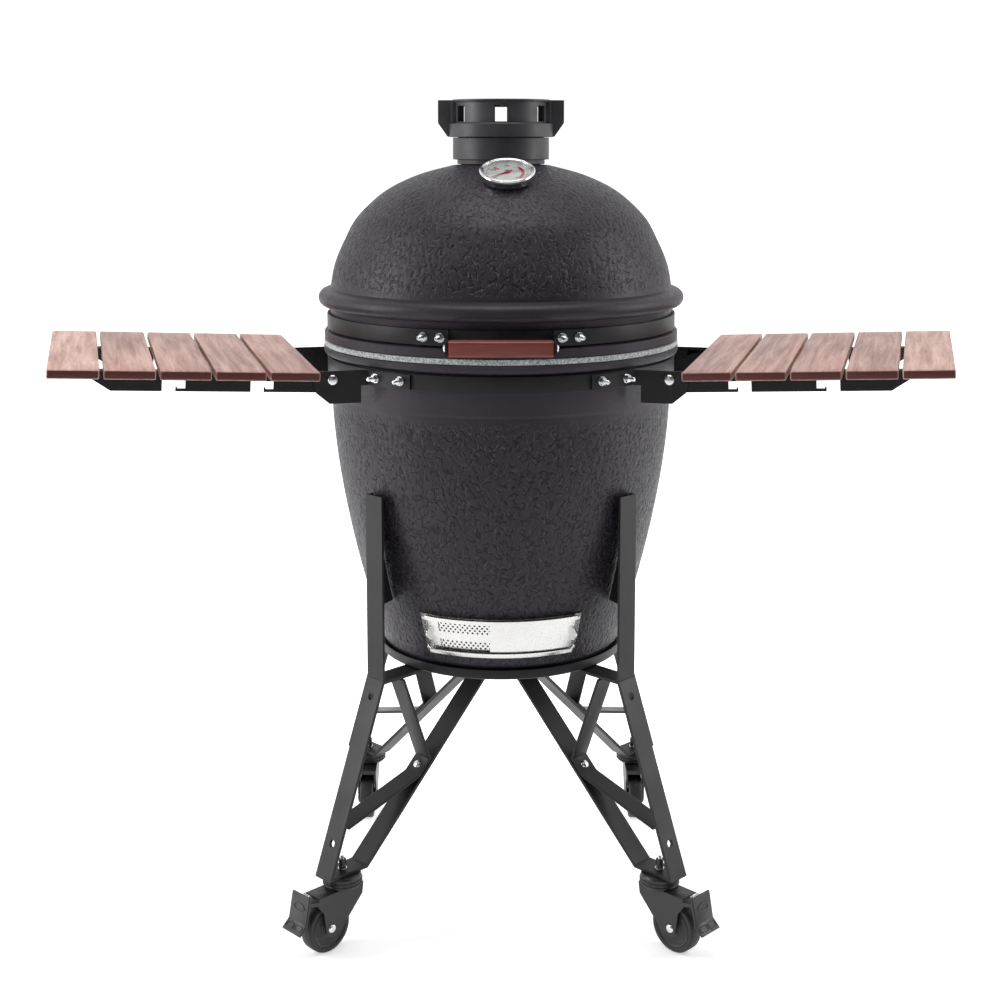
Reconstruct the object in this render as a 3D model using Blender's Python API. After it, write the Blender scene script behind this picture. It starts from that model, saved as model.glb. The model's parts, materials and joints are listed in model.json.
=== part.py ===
"""Ceramic kamado grill on a four-legged steel stand with casters and two folding side shelves.

Metres, +Z up. The origin is on the floor under the middle of the whole grill, +X is to the
right of a cook standing in front of it, and the front faces -Y. Every round ceramic and
steel part turns about one upright axis at x = 0, y = AXIS_Y.
"""
import math

import bmesh
import bpy
from mathutils import Matrix, Vector

# Whole grill
AXIS_Y = 0.0292
SEGMENTS = 40
GAP = 0.0003

# Ceramic base, from its floor up to the rim
BASE_BOTTOM = 0.3865
WALL_LOW = 0.3925
WALL_HIGH = 0.7815
WALL_LOW_RADIUS = 0.1835
WALL_SWELL = 0.077
WALL_POWER = 1.64
WALL_THICKNESS = 0.025
COLLAR_RADIUS = 0.2618
LIP_RADIUS = 0.2722
BASE_LIP_LOW = 0.8465
BASE_RIM = 0.8575
RIM_INNER_RADIUS = 0.2440
DRAFT_HALF_ANGLE = 27.0
DRAFT_LOW = 0.430
DRAFT_HIGH = 0.468
FOOT_RADIUS = 0.158
BOWL_FLOOR = 0.4120

# Fire box, charcoal grate and cooking grid
FIRE_BOX_CLEARANCE = 0.003
FIRE_BOX_WALL = 0.020
FIRE_BOX_BOTTOM = BOWL_FLOOR + 0.001
FIRE_BOX_TOP = 0.8260
GRATE_LEDGE = 0.475
GRATE_RADIUS = 0.125
GRATE_THICKNESS = 0.008
GRATE_SLOT_PITCH = 0.028
GRATE_SLOT_WIDTH = 0.014
AIR_HOLE_HALF_ANGLE = 20.0
GRID_RADIUS = 0.2320
GRID_THICKNESS = 0.006
GRID_RIM = 0.007
GRID_SLOT_PITCH = 0.0255
GRID_SLOT_WIDTH = 0.019
GRID_MIDDLE_BAR = 0.006

# Lid
GASKET_TOP = 0.8660
LID_RIM = GASKET_TOP + GAP
LID_LIP_HIGH = 0.8820
FLANGE_LOW = 0.9170
FLANGE_RADIUS = 0.2800
DOME_POINTS = [
    (0.2615, 0.9445), (0.2550, 0.9785), (0.2400, 1.0145), (0.2190, 1.0515),
    (0.1785, 1.0885), (0.1285, 1.1135), (0.0750, 1.1285),
]
DOME_STEPS = 2
NECK_RADIUS = 0.0600
NECK_TOP = 1.1435
CHIMNEY_RADIUS = 0.0500
DOME_THICKNESS = 0.020
STEM_HOLE_RADIUS = 0.0045

# Steel bands
BAND_THICKNESS = 0.0050
LOWER_BAND = (0.8175, 0.8415)
UPPER_BAND = (0.8830, 0.9060)
BAND_OUTER = COLLAR_RADIUS + GAP + BAND_THICKNESS
PLATE_INNER = BAND_OUTER + GAP
PLATE_OUTER = PLATE_INNER + 0.0030

# Hinge at the back
HINGE_Y = 0.3150
HINGE_Z = 0.8720
HINGE_EAR_INNER = 0.0420
HINGE_EAR_WALL = 0.0050
HINGE_PIN_RADIUS = 0.0050
STRAP_EAR = (0.0355, 0.0410)

# Handle
HANDLE_HALF = 0.0725
HANDLE_FRONT = -0.3190
HANDLE_BACK = -0.2960
HANDLE_LOW = 0.8755
HANDLE_HIGH = 0.8975
HANDLE_WALL = 0.003
HANDLE_CHAMFER = 0.0035
HANDLE_PLATE_ANGLES = (15.6, 26.5)

# Vent
VENT_FLOOR = 1.1305
COLLAR_STEP = 1.1375
COLLAR_TOP = 1.1705
VENT_COLLAR_RADIUS = 0.0733
SLEEVE_RADIUS = 0.0650
CAP_BOTTOM = COLLAR_TOP + 0.0005
CAP_STEP = 1.1920
CAP_TOP = 1.2275
CAP_RADIUS = 0.0795
DRUM_RADIUS = 0.0700
EAR_REACH = 0.0960
PORTS = 6
PORT_WIDTH = 0.0210
PORT_LOW = 1.1942
SLEEVE_PORT_HIGH = 1.2110
CAP_PORT_HIGH = 1.2180
SLEEVE_WALL = 0.004
SLEEVE_CLEARANCE = 0.0006
CAP_LID_THICKNESS = 0.004
EAR_HALF_WIDTH = 0.009

# Thermometer
DIAL_CENTRE = Vector((0.0090, -0.1450, 1.1250))
DIAL_TILT = 66.0
DIAL_RADIUS = 0.0405
CASE_RADIUS = 0.0360
GLASS_RADIUS = 0.0345
PROBE_RADIUS = 0.0035
NEEDLE_LENGTH = 0.0260
NEEDLE_REST = 215.0
NEEDLE_HEIGHT = -0.0050

# Draft door
DOOR_HALF_ANGLE = 34.0
DOOR_LOW = 0.4175
DOOR_HIGH = 0.4785
RAIL_REACH = DOOR_HALF_ANGLE - 3.0
LEAF_THICKNESS = 0.0012
LEAF_MARGIN = 0.0032
SCREEN_INSET = 0.0030
DOOR_INSET = 0.0056
TAB_HEIGHTS = (0.4390, 0.4570)
TAB_REACH = 0.0140

# Side shelves
SHELF_TURN = math.radians(14.94)
SHELF_TILT = math.radians(2.87)
PIVOT_OUT = 0.2834
PIVOT_Z = 0.8277
BOARDS = 5
BOARD_WIDTH = 0.0676
BOARD_GAP = 0.0055
BOARD_LENGTH = 0.4390
BOARD_THICKNESS = 0.0125
BOARD_START = 0.0306
BOARD_UNDERSIDE = 0.0098
ARM_OFFSET = 0.1290
ARM_THICKNESS = 0.0030
ARM_TOP = BOARD_UNDERSIDE - GAP
ARM_BOTTOM = -0.0186
ARM_LENGTH = 0.3515
HOOK_STARTS = (0.0835, 0.2057)
PIN_RADIUS = 0.0038
BRACKET_THICKNESS = 0.0030

# Stand
POST_RADIUS = 0.2610
POST_WIDTH = 0.0350
POST_THICKNESS = 0.0040
POST_TOP = 0.6555
LEG_TOP = 0.3810
LEG_WIDTH = 0.0340
LEG_THICKNESS = 0.0050
LEG_FLOOR = 0.1075
BRACE_THICKNESS = 0.0040
STEM_RADIUS_FROM_AXIS = 0.3270
RING_RADIUS = 0.1910
RING_HOLE = 0.120
RING_FLOOR = 0.3860
RING_TOP = 0.3960
LEG_TOE = 0.3640
LEG_HEEL = 0.2930
LEG_HOLE_HEIGHTS = (0.1560, 0.3570)
LEG_HOLE_RADIUS = 0.0055
STEM_HOLE_IN_LEG = 0.0062

# Casters
WHEEL_RADIUS = 0.0375
WHEEL_HALF_WIDTH = 0.0110
CASTER_TRAIL = 0.0330
HEAD_RADIUS = 0.0280
HEAD_LOW = 0.0890
STEM_RADIUS = 0.0055
STEM_TOP = 0.1270
CHEEK_INNER = 0.0135
CHEEK_WALL = 0.0025
AXLE_RADIUS = 0.0040
BORE_RADIUS = 0.0044
HUB_HALF_WIDTH = 0.0128
PEDAL_HALF_WIDTH = 0.0200
PEDAL_PIVOT = (0.0600, 0.0850)

for item in list(bpy.data.objects):
    bpy.data.objects.remove(item, do_unlink=True)


# ---------------------------------------------------------------- materials

def finish(name, colour, roughness, metallic):
    """A plain Principled material in the part's own colour."""
    material = bpy.data.materials.new(name)
    material.use_nodes = True
    shader = material.node_tree.nodes["Principled BSDF"]
    shader.inputs["Base Color"].default_value = (*colour, 1.0)
    shader.inputs["Roughness"].default_value = roughness
    shader.inputs["Metallic"].default_value = metallic
    return material


GLAZE = finish("charcoal_glaze", (0.045, 0.046, 0.050), 0.50, 0.0)
FIRECLAY = finish("fireclay", (0.55, 0.45, 0.34), 0.90, 0.0)
BLACK_STEEL = finish("black_steel", (0.022, 0.022, 0.024), 0.50, 0.3)
CAST_IRON = finish("cast_iron", (0.045, 0.046, 0.050), 0.55, 0.4)
STAINLESS = finish("stainless", (0.72, 0.72, 0.72), 0.28, 1.0)
FELT = finish("felt", (0.35, 0.37, 0.37), 0.95, 0.0)
HARDWOOD = finish("hardwood", (0.32, 0.12, 0.075), 0.45, 0.0)
CASTER_PLASTIC = finish("caster_plastic", (0.030, 0.030, 0.032), 0.45, 0.0)
TYRE = finish("tyre", (0.020, 0.020, 0.022), 0.60, 0.0)
RED = finish("needle_red", (0.60, 0.02, 0.02), 0.40, 0.0)


# ------------------------------------------------------------ mesh helpers

def at_axis(x, y, z):
    """A point given from the ceramic's axis, in the grill's frame."""
    return Vector((x, y + AXIS_Y, z))


def make(name, mesh, material, origin=None):
    """Turn a bmesh in the grill's frame into an object whose origin is at `origin`."""
    bmesh.ops.remove_doubles(mesh, verts=mesh.verts, dist=1e-6)
    bmesh.ops.recalc_face_normals(mesh, faces=mesh.faces)
    origin = origin or Vector((0.0, 0.0, 0.0))
    bmesh.ops.translate(mesh, verts=mesh.verts, vec=-origin)
    data = bpy.data.meshes.new(name)
    mesh.to_mesh(data)
    mesh.free()
    data.materials.append(material)
    data.shade_smooth()
    data.set_sharp_from_angle(angle=math.radians(30))
    thing = bpy.data.objects.new(name, data)
    thing.location = origin
    bpy.context.collection.objects.link(thing)
    return thing


def lathe(profile, segments=SEGMENTS):
    """Spin a profile of (radius, height) once round Z; a radius of 0 closes at the axis."""
    mesh = bmesh.new()
    rows = []
    for radius, height in profile:
        if radius < 1e-9:
            rows.append([mesh.verts.new((0.0, 0.0, height))])
            continue
        turns = [2 * math.pi * step / segments for step in range(segments)]
        rows.append([mesh.verts.new((radius * math.cos(a), radius * math.sin(a), height)) for a in turns])
    pairs = [pair for pair in zip(rows, rows[1:] + rows[:1]) if len(pair[0]) > 1 or len(pair[1]) > 1]
    for low, high in pairs:
        for step in range(segments):
            after = (step + 1) % segments
            lower = [low[step % len(low)], low[after % len(low)]]
            upper = [high[after % len(high)], high[step % len(high)]]
            mesh.faces.new(list(dict.fromkeys(lower + upper)))
    return mesh


def sector(profile, first, last, steps):
    """Sweep a closed (radius, height) outline between two angles in degrees from the front.

    Positive angles run towards +X, so 90 is the right-hand side and 180 the back.
    """
    mesh = bmesh.new()
    rows = []
    for step in range(steps + 1):
        angle = math.radians(first + (last - first) * step / steps)
        rows.append([mesh.verts.new((r * math.sin(angle), -r * math.cos(angle), z)) for r, z in profile])
    count = len(profile)
    for low, high in zip(rows, rows[1:]):
        for index in range(count):
            after = (index + 1) % count
            mesh.faces.new((low[index], low[after], high[after], high[index]))
    mesh.faces.new(rows[0])
    mesh.faces.new(list(reversed(rows[-1])))
    return mesh


def prism(outline, low, high, matrix=None):
    """Extrude a flat outline of (u, w) points between two depths; u is X, depth is Y, w is Z."""
    mesh = bmesh.new()
    near = [mesh.verts.new((u, low, w)) for u, w in outline]
    far = [mesh.verts.new((u, high, w)) for u, w in outline]
    mesh.faces.new(near)
    mesh.faces.new(list(reversed(far)))
    for index in range(len(outline)):
        after = (index + 1) % len(outline)
        mesh.faces.new((near[index], far[index], far[after], near[after]))
    if matrix:
        mesh.transform(matrix)
    return mesh


def block(low, high, matrix=None):
    """A box between two corners."""
    outline = [(low[0], low[2]), (high[0], low[2]), (high[0], high[2]), (low[0], high[2])]
    return prism(outline, low[1], high[1], matrix)


def rod(radius, start, end, sides=12, matrix=None):
    """A round bar between two points."""
    start = Vector(start)
    end = Vector(end)
    length = (end - start).length
    mesh = lathe([(0.0, 0.0), (radius, 0.0), (radius, length), (0.0, length)], sides)
    turn = (end - start).to_track_quat("Z", "Y").to_matrix().to_4x4()
    mesh.transform(Matrix.Translation(start) @ turn)
    if matrix:
        mesh.transform(matrix)
    return mesh


def joined(meshes):
    """Several meshes that don't touch, as one."""
    whole = bmesh.new()
    for mesh in meshes:
        data = bpy.data.meshes.new("part")
        bmesh.ops.recalc_face_normals(mesh, faces=mesh.faces)
        mesh.to_mesh(data)
        mesh.free()
        whole.from_mesh(data)
        bpy.data.meshes.remove(data)
    return whole


def combine(mesh, tool, operation):
    """The exact Boolean of two meshes, as a new one."""
    things = []
    for part in (mesh, tool):
        bmesh.ops.recalc_face_normals(part, faces=part.faces)
        data = bpy.data.meshes.new("operand")
        part.to_mesh(data)
        part.free()
        thing = bpy.data.objects.new("operand", data)
        bpy.context.collection.objects.link(thing)
        things.append(thing)
    boolean = things[0].modifiers.new("boolean", "BOOLEAN")
    boolean.operation = operation
    boolean.solver = "EXACT"
    boolean.object = things[1]
    evaluated = things[0].evaluated_get(bpy.context.evaluated_depsgraph_get())
    result = bmesh.new()
    result.from_mesh(evaluated.to_mesh())
    evaluated.to_mesh_clear()
    for thing in things:
        data = thing.data
        bpy.data.objects.remove(thing, do_unlink=True)
        bpy.data.meshes.remove(data)
    bmesh.ops.dissolve_limit(
        result, angle_limit=math.radians(0.05), verts=result.verts, edges=result.edges, delimit={"NORMAL"}
    )
    return result


def cut(mesh, *tools):
    """The mesh with each tool taken out of it."""
    for tool in tools:
        mesh = combine(mesh, tool, "DIFFERENCE")
    return mesh


def fuse(mesh, *tools):
    """The mesh with each tool welded to it."""
    for tool in tools:
        mesh = combine(mesh, tool, "UNION")
    return mesh


def on_axis():
    """Places a mesh made round Z on the ceramic's axis."""
    return Matrix.Translation((0.0, AXIS_Y, 0.0))


def smooth_through(points, steps):
    """A Catmull-Rom curve through the given points, with `steps` stretches between each two."""
    padded = [points[0]] + list(points) + [points[-1]]
    curve = []
    for index in range(1, len(padded) - 2):
        before, start, end, after = (Vector(p) for p in padded[index - 1:index + 3])
        for step in range(steps):
            t = step / steps
            point = 0.5 * (
                2 * start
                + (end - before) * t
                + (2 * before - 5 * start + 4 * end - after) * t * t
                + (3 * start - before - 3 * end + after) * t * t * t
            )
            curve.append((point.x, point.y))
    curve.append(tuple(points[-1]))
    return curve


def base_radius(height):
    """Outer radius of the base: narrow at the foot and nearly upright at the top."""
    rise = min(max((height - WALL_LOW) / (WALL_HIGH - WALL_LOW), 0.0), 1.0)
    return WALL_LOW_RADIUS + WALL_SWELL * (1.0 - (1.0 - rise) ** WALL_POWER)


def spread(low, high, count):
    """Evenly spaced values from low to high."""
    return [low + (high - low) * index / (count - 1) for index in range(count)]


# ------------------------------------------------------------ ceramic base

def make_base():
    """The base bowl, its opening for air at the front, and what stands inside it."""
    wall = [(base_radius(z), z) for z in spread(0.400, WALL_HIGH, 9)]
    inside = [(base_radius(z) - WALL_THICKNESS, z) for z in reversed(spread(0.420, WALL_HIGH, 5))]
    profile = (
        [(0.0, BASE_BOTTOM), (FOOT_RADIUS, BASE_BOTTOM), (FOOT_RADIUS + 0.020, 0.3900)]
        + wall
        + [(COLLAR_RADIUS, 0.7850), (COLLAR_RADIUS, LOWER_BAND[1] + 0.0015), (LIP_RADIUS, BASE_LIP_LOW)]
        + [(LIP_RADIUS, BASE_RIM), (RIM_INNER_RADIUS, BASE_RIM), (RIM_INNER_RADIUS, 0.840)]
        + inside
        + [(0.135, BOWL_FLOOR), (0.0, BOWL_FLOOR)]
    )
    shell = lathe(profile)
    opening = sector(
        [(0.10, DRAFT_LOW), (0.25, DRAFT_LOW), (0.25, DRAFT_HIGH), (0.10, DRAFT_HIGH)],
        -DRAFT_HALF_ANGLE, DRAFT_HALF_ANGLE, 8,
    )
    shell = cut(shell, opening)
    shell.transform(on_axis())
    make("base_shell", shell, GLAZE)

    gasket = lathe([(0.2460, BASE_RIM + GAP), (0.2715, BASE_RIM + GAP), (LIP_RADIUS, 0.8618),
                    (0.2715, GASKET_TOP), (0.2460, GASKET_TOP)])
    gasket.transform(on_axis())
    make("rim_gasket", gasket, FELT)

    clearance = WALL_THICKNESS + FIRE_BOX_CLEARANCE
    outer = [(base_radius(z) - clearance, z) for z in spread(0.422, WALL_HIGH, 5)]
    inner = [(r - FIRE_BOX_WALL, z) for r, z in reversed(outer[1:])]
    box = lathe(
        [(0.128, FIRE_BOX_BOTTOM)] + outer + [(0.2340, FIRE_BOX_TOP), (0.2160, FIRE_BOX_TOP)] + inner
        + [(0.140, GRATE_LEDGE), (0.110, GRATE_LEDGE), (0.100, FIRE_BOX_BOTTOM)],
        32,
    )
    air_low, air_high = FIRE_BOX_BOTTOM + 0.010, GRATE_LEDGE - 0.011
    air = sector(
        [(0.08, air_low), (0.25, air_low), (0.25, air_high), (0.08, air_high)],
        -AIR_HOLE_HALF_ANGLE, AIR_HOLE_HALF_ANGLE, 6,
    )
    box = cut(box, air)
    box.transform(on_axis())
    make("fire_box", box, FIRECLAY)

    under, top = GRATE_LEDGE + GAP, GRATE_LEDGE + GRATE_THICKNESS
    grate = lathe([(0.0, under), (GRATE_RADIUS, under), (GRATE_RADIUS, top), (0.0, top)], 32)
    slots = []
    half = GRATE_SLOT_WIDTH / 2
    for index in range(-3, 4):
        x = index * GRATE_SLOT_PITCH
        reach = math.sqrt((GRATE_RADIUS - 0.020) ** 2 - x ** 2)
        slots.append(block((x - half, -reach, under - 0.01), (x + half, reach, top + 0.01)))
    grate = cut(grate, joined(slots))
    grate.transform(on_axis())
    make("charcoal_grate", grate, CAST_IRON)

    low = FIRE_BOX_TOP + GAP
    top = low + GRID_THICKNESS
    grid = lathe([(0.0, low), (GRID_RADIUS, low), (GRID_RADIUS, top), (0.0, top)], SEGMENTS)
    slots = []
    half = GRID_SLOT_WIDTH / 2
    bar = GRID_MIDDLE_BAR / 2
    for index in range(-8, 9):
        x = index * GRID_SLOT_PITCH
        reach = math.sqrt((GRID_RADIUS - GRID_RIM) ** 2 - x ** 2) - 0.002
        slots.append(block((x - half, bar, low - 0.01), (x + half, reach, top + 0.01)))
        slots.append(block((x - half, -reach, low - 0.01), (x + half, -bar, top + 0.01)))
    grid = cut(grid, joined(slots))
    grid.transform(on_axis())
    make("cooking_grid", grid, STAINLESS)


def band(name, heights):
    """A plain steel band clamped round the ceramic."""
    inner = COLLAR_RADIUS + GAP
    low, high = heights
    ring = lathe([(inner, low), (BAND_OUTER, low), (BAND_OUTER, high), (inner, high)])
    ring.transform(on_axis())
    make(name, ring, BLACK_STEEL)


# ------------------------------------------------------------------ the lid

def make_lid():
    """The dome, with its rim, its flange and a neck for the vent."""
    dome = smooth_through(DOME_POINTS, DOME_STEPS)
    inside = [(r - DOME_THICKNESS, z - DOME_THICKNESS) for r, z in reversed(dome[::2])]
    inside = [point for point in inside if point[0] > CHIMNEY_RADIUS + 0.004]
    lip = LIP_RADIUS - 0.001
    profile = (
        [(RIM_INNER_RADIUS, LID_RIM), (lip, LID_RIM), (lip, LID_LIP_HIGH - 0.002)]
        + [(COLLAR_RADIUS, LID_LIP_HIGH), (COLLAR_RADIUS, UPPER_BAND[1] + 0.001)]
        + [(0.2730, FLANGE_LOW), (0.2785, FLANGE_LOW + 0.003), (FLANGE_RADIUS, FLANGE_LOW + 0.008)]
        + [(FLANGE_RADIUS, 0.9340), (0.2780, 0.9400), (0.2720, 0.9430)]
        + dome
        + [(NECK_RADIUS, 1.1295), (NECK_RADIUS, NECK_TOP)]
        + [(CHIMNEY_RADIUS, NECK_TOP), (CHIMNEY_RADIUS, 1.1120)]
        + inside
        + [(RIM_INNER_RADIUS - 0.004, 0.930)]
    )
    shell = lathe(profile)
    shell = cut(shell, rod(STEM_HOLE_RADIUS, dial_point(0, 0, 0.010), dial_point(0, 0, -0.060)))
    shell.transform(on_axis())
    make("lid_dome", shell, GLAZE)


def dial_frame():
    """Turns +Z into the direction that the thermometer faces, at the middle of its bezel."""
    lean = math.radians(90.0 - DIAL_TILT)
    return Matrix.Translation(DIAL_CENTRE) @ Matrix.Rotation(lean, 4, "X")


def dial_point(x, y, z):
    """A point of the thermometer, from the middle of its bezel, given from the ceramic's axis."""
    return dial_frame() @ Vector((x, y, z))


def make_thermometer():
    """A bezel and case with a stem through the dome, and a needle over the dial."""
    case = lathe(
        [(0.0, -0.0750), (PROBE_RADIUS, -0.0730), (PROBE_RADIUS, -0.0160), (0.0340, -0.0160)]
        + [(CASE_RADIUS, -0.0140), (CASE_RADIUS, -0.0052)]
        + [(DIAL_RADIUS, -0.0045), (DIAL_RADIUS, -0.0012), (DIAL_RADIUS - 0.0015, 0.0)]
        + [(0.0352, 0.0), (GLASS_RADIUS, -0.0012), (GLASS_RADIUS, -0.0065), (0.0, -0.0065)],
        28,
    )
    case.transform(on_axis() @ dial_frame())
    make("thermometer_case", case, STAINLESS)

    pointer = [(-0.0080, -0.0016), (NEEDLE_LENGTH, -0.0004), (NEEDLE_LENGTH, 0.0004), (-0.0080, 0.0016)]
    flat = Matrix.Rotation(math.radians(90), 4, "X")
    needle = fuse(
        prism(pointer, -0.0054, -0.0046, flat),
        lathe([(0.0, -0.0058), (0.0036, -0.0058), (0.0036, -0.0036), (0.0, -0.0036)], 16),
    )
    needle.transform(on_axis() @ dial_frame() @ Matrix.Rotation(math.radians(NEEDLE_REST), 4, "Z"))
    make("thermometer_needle", needle, RED, at_axis(*dial_point(0, 0, NEEDLE_HEIGHT)))


def make_vent():
    """A fixed cast collar with a ported sleeve, and a cap with matching ports that turns on it."""
    sleeve_top = CAP_TOP - 0.0055
    collar = lathe(
        [(NECK_RADIUS + 0.0005, VENT_FLOOR), (0.0667, VENT_FLOOR), (0.0667, COLLAR_STEP)]
        + [(VENT_COLLAR_RADIUS, COLLAR_STEP), (VENT_COLLAR_RADIUS, COLLAR_TOP), (SLEEVE_RADIUS, COLLAR_TOP)]
        + [(SLEEVE_RADIUS, sleeve_top), (SLEEVE_RADIUS - SLEEVE_WALL, sleeve_top)]
        + [(SLEEVE_RADIUS - SLEEVE_WALL, 1.1500)]
        + [(NECK_RADIUS + 0.0005, 1.1480)],
        32,
    )
    cap_inner = SLEEVE_RADIUS + SLEEVE_CLEARANCE
    flange = DRUM_RADIUS + 0.0045
    cap = lathe(
        [(cap_inner, CAP_BOTTOM), (CAP_RADIUS, CAP_BOTTOM), (CAP_RADIUS, CAP_STEP)]
        + [(DRUM_RADIUS, CAP_STEP + 0.001), (DRUM_RADIUS, CAP_TOP - 0.0035), (flange, CAP_TOP - 0.003)]
        + [(flange, CAP_TOP), (0.0, CAP_TOP), (0.0, CAP_TOP - CAP_LID_THICKNESS)]
        + [(cap_inner, CAP_TOP - CAP_LID_THICKNESS)],
        32,
    )
    half = PORT_WIDTH / 2
    sleeve_ports = []
    cap_ports = []
    for index in range(PORTS):
        turn = Matrix.Rotation(2 * math.pi * index / PORTS, 4, "Z")
        sleeve_ports.append(block((-half, -0.072, PORT_LOW), (half, -0.055, SLEEVE_PORT_HIGH), turn))
        cap_ports.append(block((-half, -0.085, PORT_LOW), (half, -0.055, CAP_PORT_HIGH), turn))
    collar = cut(collar, joined(sleeve_ports))
    cap = cut(cap, joined(cap_ports))
    fin = [(0.0670, CAP_BOTTOM + 0.0005), (0.0815, CAP_BOTTOM + 0.0005), (EAR_REACH, CAP_STEP + 0.001)]
    fin += [(EAR_REACH, CAP_TOP - 0.0005), (0.0670, CAP_TOP - 0.0005)]
    mirror = Matrix.Rotation(math.pi, 4, "Z")
    cap = fuse(cap, prism(fin, -EAR_HALF_WIDTH, EAR_HALF_WIDTH))
    cap = fuse(cap, prism(fin, -EAR_HALF_WIDTH, EAR_HALF_WIDTH, mirror))
    collar.transform(on_axis())
    cap.transform(on_axis())
    make("vent_collar", collar, CAST_IRON)
    make("vent_cap", cap, CAST_IRON, at_axis(0, 0, CAP_BOTTOM))


def make_handle():
    """Two bracket plates on the upper band, a bar between them, and a wooden grip in front."""
    plate = [(PLATE_INNER, 0.8835), (PLATE_OUTER, 0.8835), (PLATE_OUTER, 0.9060), (PLATE_INNER, 0.9060)]
    wall = HANDLE_WALL
    inner = HANDLE_HALF + GAP
    first, last = HANDLE_PLATE_ANGLES
    sideways = Matrix.Rotation(math.radians(90), 4, "Z")
    outline = [(HANDLE_FRONT, 0.8765), (-0.2740, 0.8765), (-0.2740, 0.8835), (-0.2588, 0.8835)]
    outline += [(-0.2588, 0.8965), (HANDLE_FRONT, 0.8965)]
    reach = inner + wall / 2
    frame = block((-reach, HANDLE_BACK + GAP, 0.8790), (reach, HANDLE_BACK + GAP + wall, 0.8940))
    for side in (-1, 1):
        low, high = sorted((-side * inner, -side * (inner + wall)))
        end_plate = prism(outline, low, high, sideways)
        frame = fuse(frame, end_plate, sector(plate, side * first, side * last, 4))
    frame.transform(on_axis())
    make("handle_frame", frame, BLACK_STEEL)

    chamfer = HANDLE_CHAMFER
    outline = [
        (HANDLE_FRONT, HANDLE_LOW + chamfer / 2), (HANDLE_FRONT + chamfer / 2, HANDLE_LOW),
        (HANDLE_BACK, HANDLE_LOW), (HANDLE_BACK, HANDLE_HIGH),
        (HANDLE_FRONT + chamfer, HANDLE_HIGH), (HANDLE_FRONT, HANDLE_HIGH - chamfer),
    ]
    grip = prism(outline, -HANDLE_HALF, HANDLE_HALF, sideways)
    grip.transform(on_axis())
    make("handle_grip", grip, HARDWOOD)


def make_hinge():
    """A forked bracket with its pin on the lower band, and a strap on the lid that turns on it."""
    y, z = HINGE_Y, HINGE_Z
    ear_inner = HINGE_EAR_INNER
    wall = HINGE_EAR_WALL
    low_plate = [(PLATE_INNER, LOWER_BAND[0]), (PLATE_OUTER, LOWER_BAND[0])]
    low_plate += [(PLATE_OUTER, LOWER_BAND[1]), (PLATE_INNER, LOWER_BAND[1])]
    base = sector(low_plate, 167.0, 193.0, 6)
    sideways = Matrix.Rotation(math.radians(90), 4, "Z")
    ear = [(0.2660, 0.8180), (0.2790, 0.8180), (y + 0.009, z - 0.012), (y + 0.012, z), (y + 0.006, z + 0.010)]
    ear += [(y - 0.006, z + 0.010), (y - 0.012, z - 0.006), (0.2880, 0.8400), (0.2660, 0.8400)]
    for side in (-1, 1):
        low, high = sorted((-side * ear_inner, -side * (ear_inner + wall)))
        base = fuse(base, prism(ear, low, high, sideways))
    base = fuse(base, rod(HINGE_PIN_RADIUS, (-ear_inner - 0.010, y, z), (ear_inner + 0.010, y, z), 16))
    base.transform(on_axis())
    make("hinge_base_bracket", base, BLACK_STEEL)

    high_plate = [(PLATE_INNER, UPPER_BAND[0]), (PLATE_OUTER, UPPER_BAND[0])]
    high_plate += [(PLATE_OUTER, UPPER_BAND[1]), (PLATE_INNER, UPPER_BAND[1])]
    strap = sector(high_plate, 169.5, 190.5, 6)
    outline = [(0.2650, 0.8850), (0.2830, 0.8850), (y - 0.010, z - 0.006), (y, z - 0.011)]
    outline += [(y + 0.010, z - 0.005), (y + 0.010, z + 0.006), (y - 0.002, z + 0.014)]
    outline += [(0.2850, 0.9040), (0.2650, 0.9040)]
    for side in (-1, 1):
        low, high = sorted((-side * STRAP_EAR[0], -side * STRAP_EAR[1]))
        strap = fuse(strap, prism(outline, low, high, sideways))
    strap = cut(strap, rod(HINGE_PIN_RADIUS + GAP, (-0.05, y, z), (0.05, y, z), 16))
    strap.transform(on_axis())
    make("hinge_lid_strap", strap, BLACK_STEEL)


# -------------------------------------------------------------- draft door

def door_profile(inset, thickness, low, high):
    """A thin wall that follows the slope of the base, `inset` away from it."""
    return [
        (base_radius(low) + inset, low), (base_radius(low) + inset + thickness, low),
        (base_radius(high) + inset + thickness, high), (base_radius(high) + inset, high),
    ]


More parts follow.
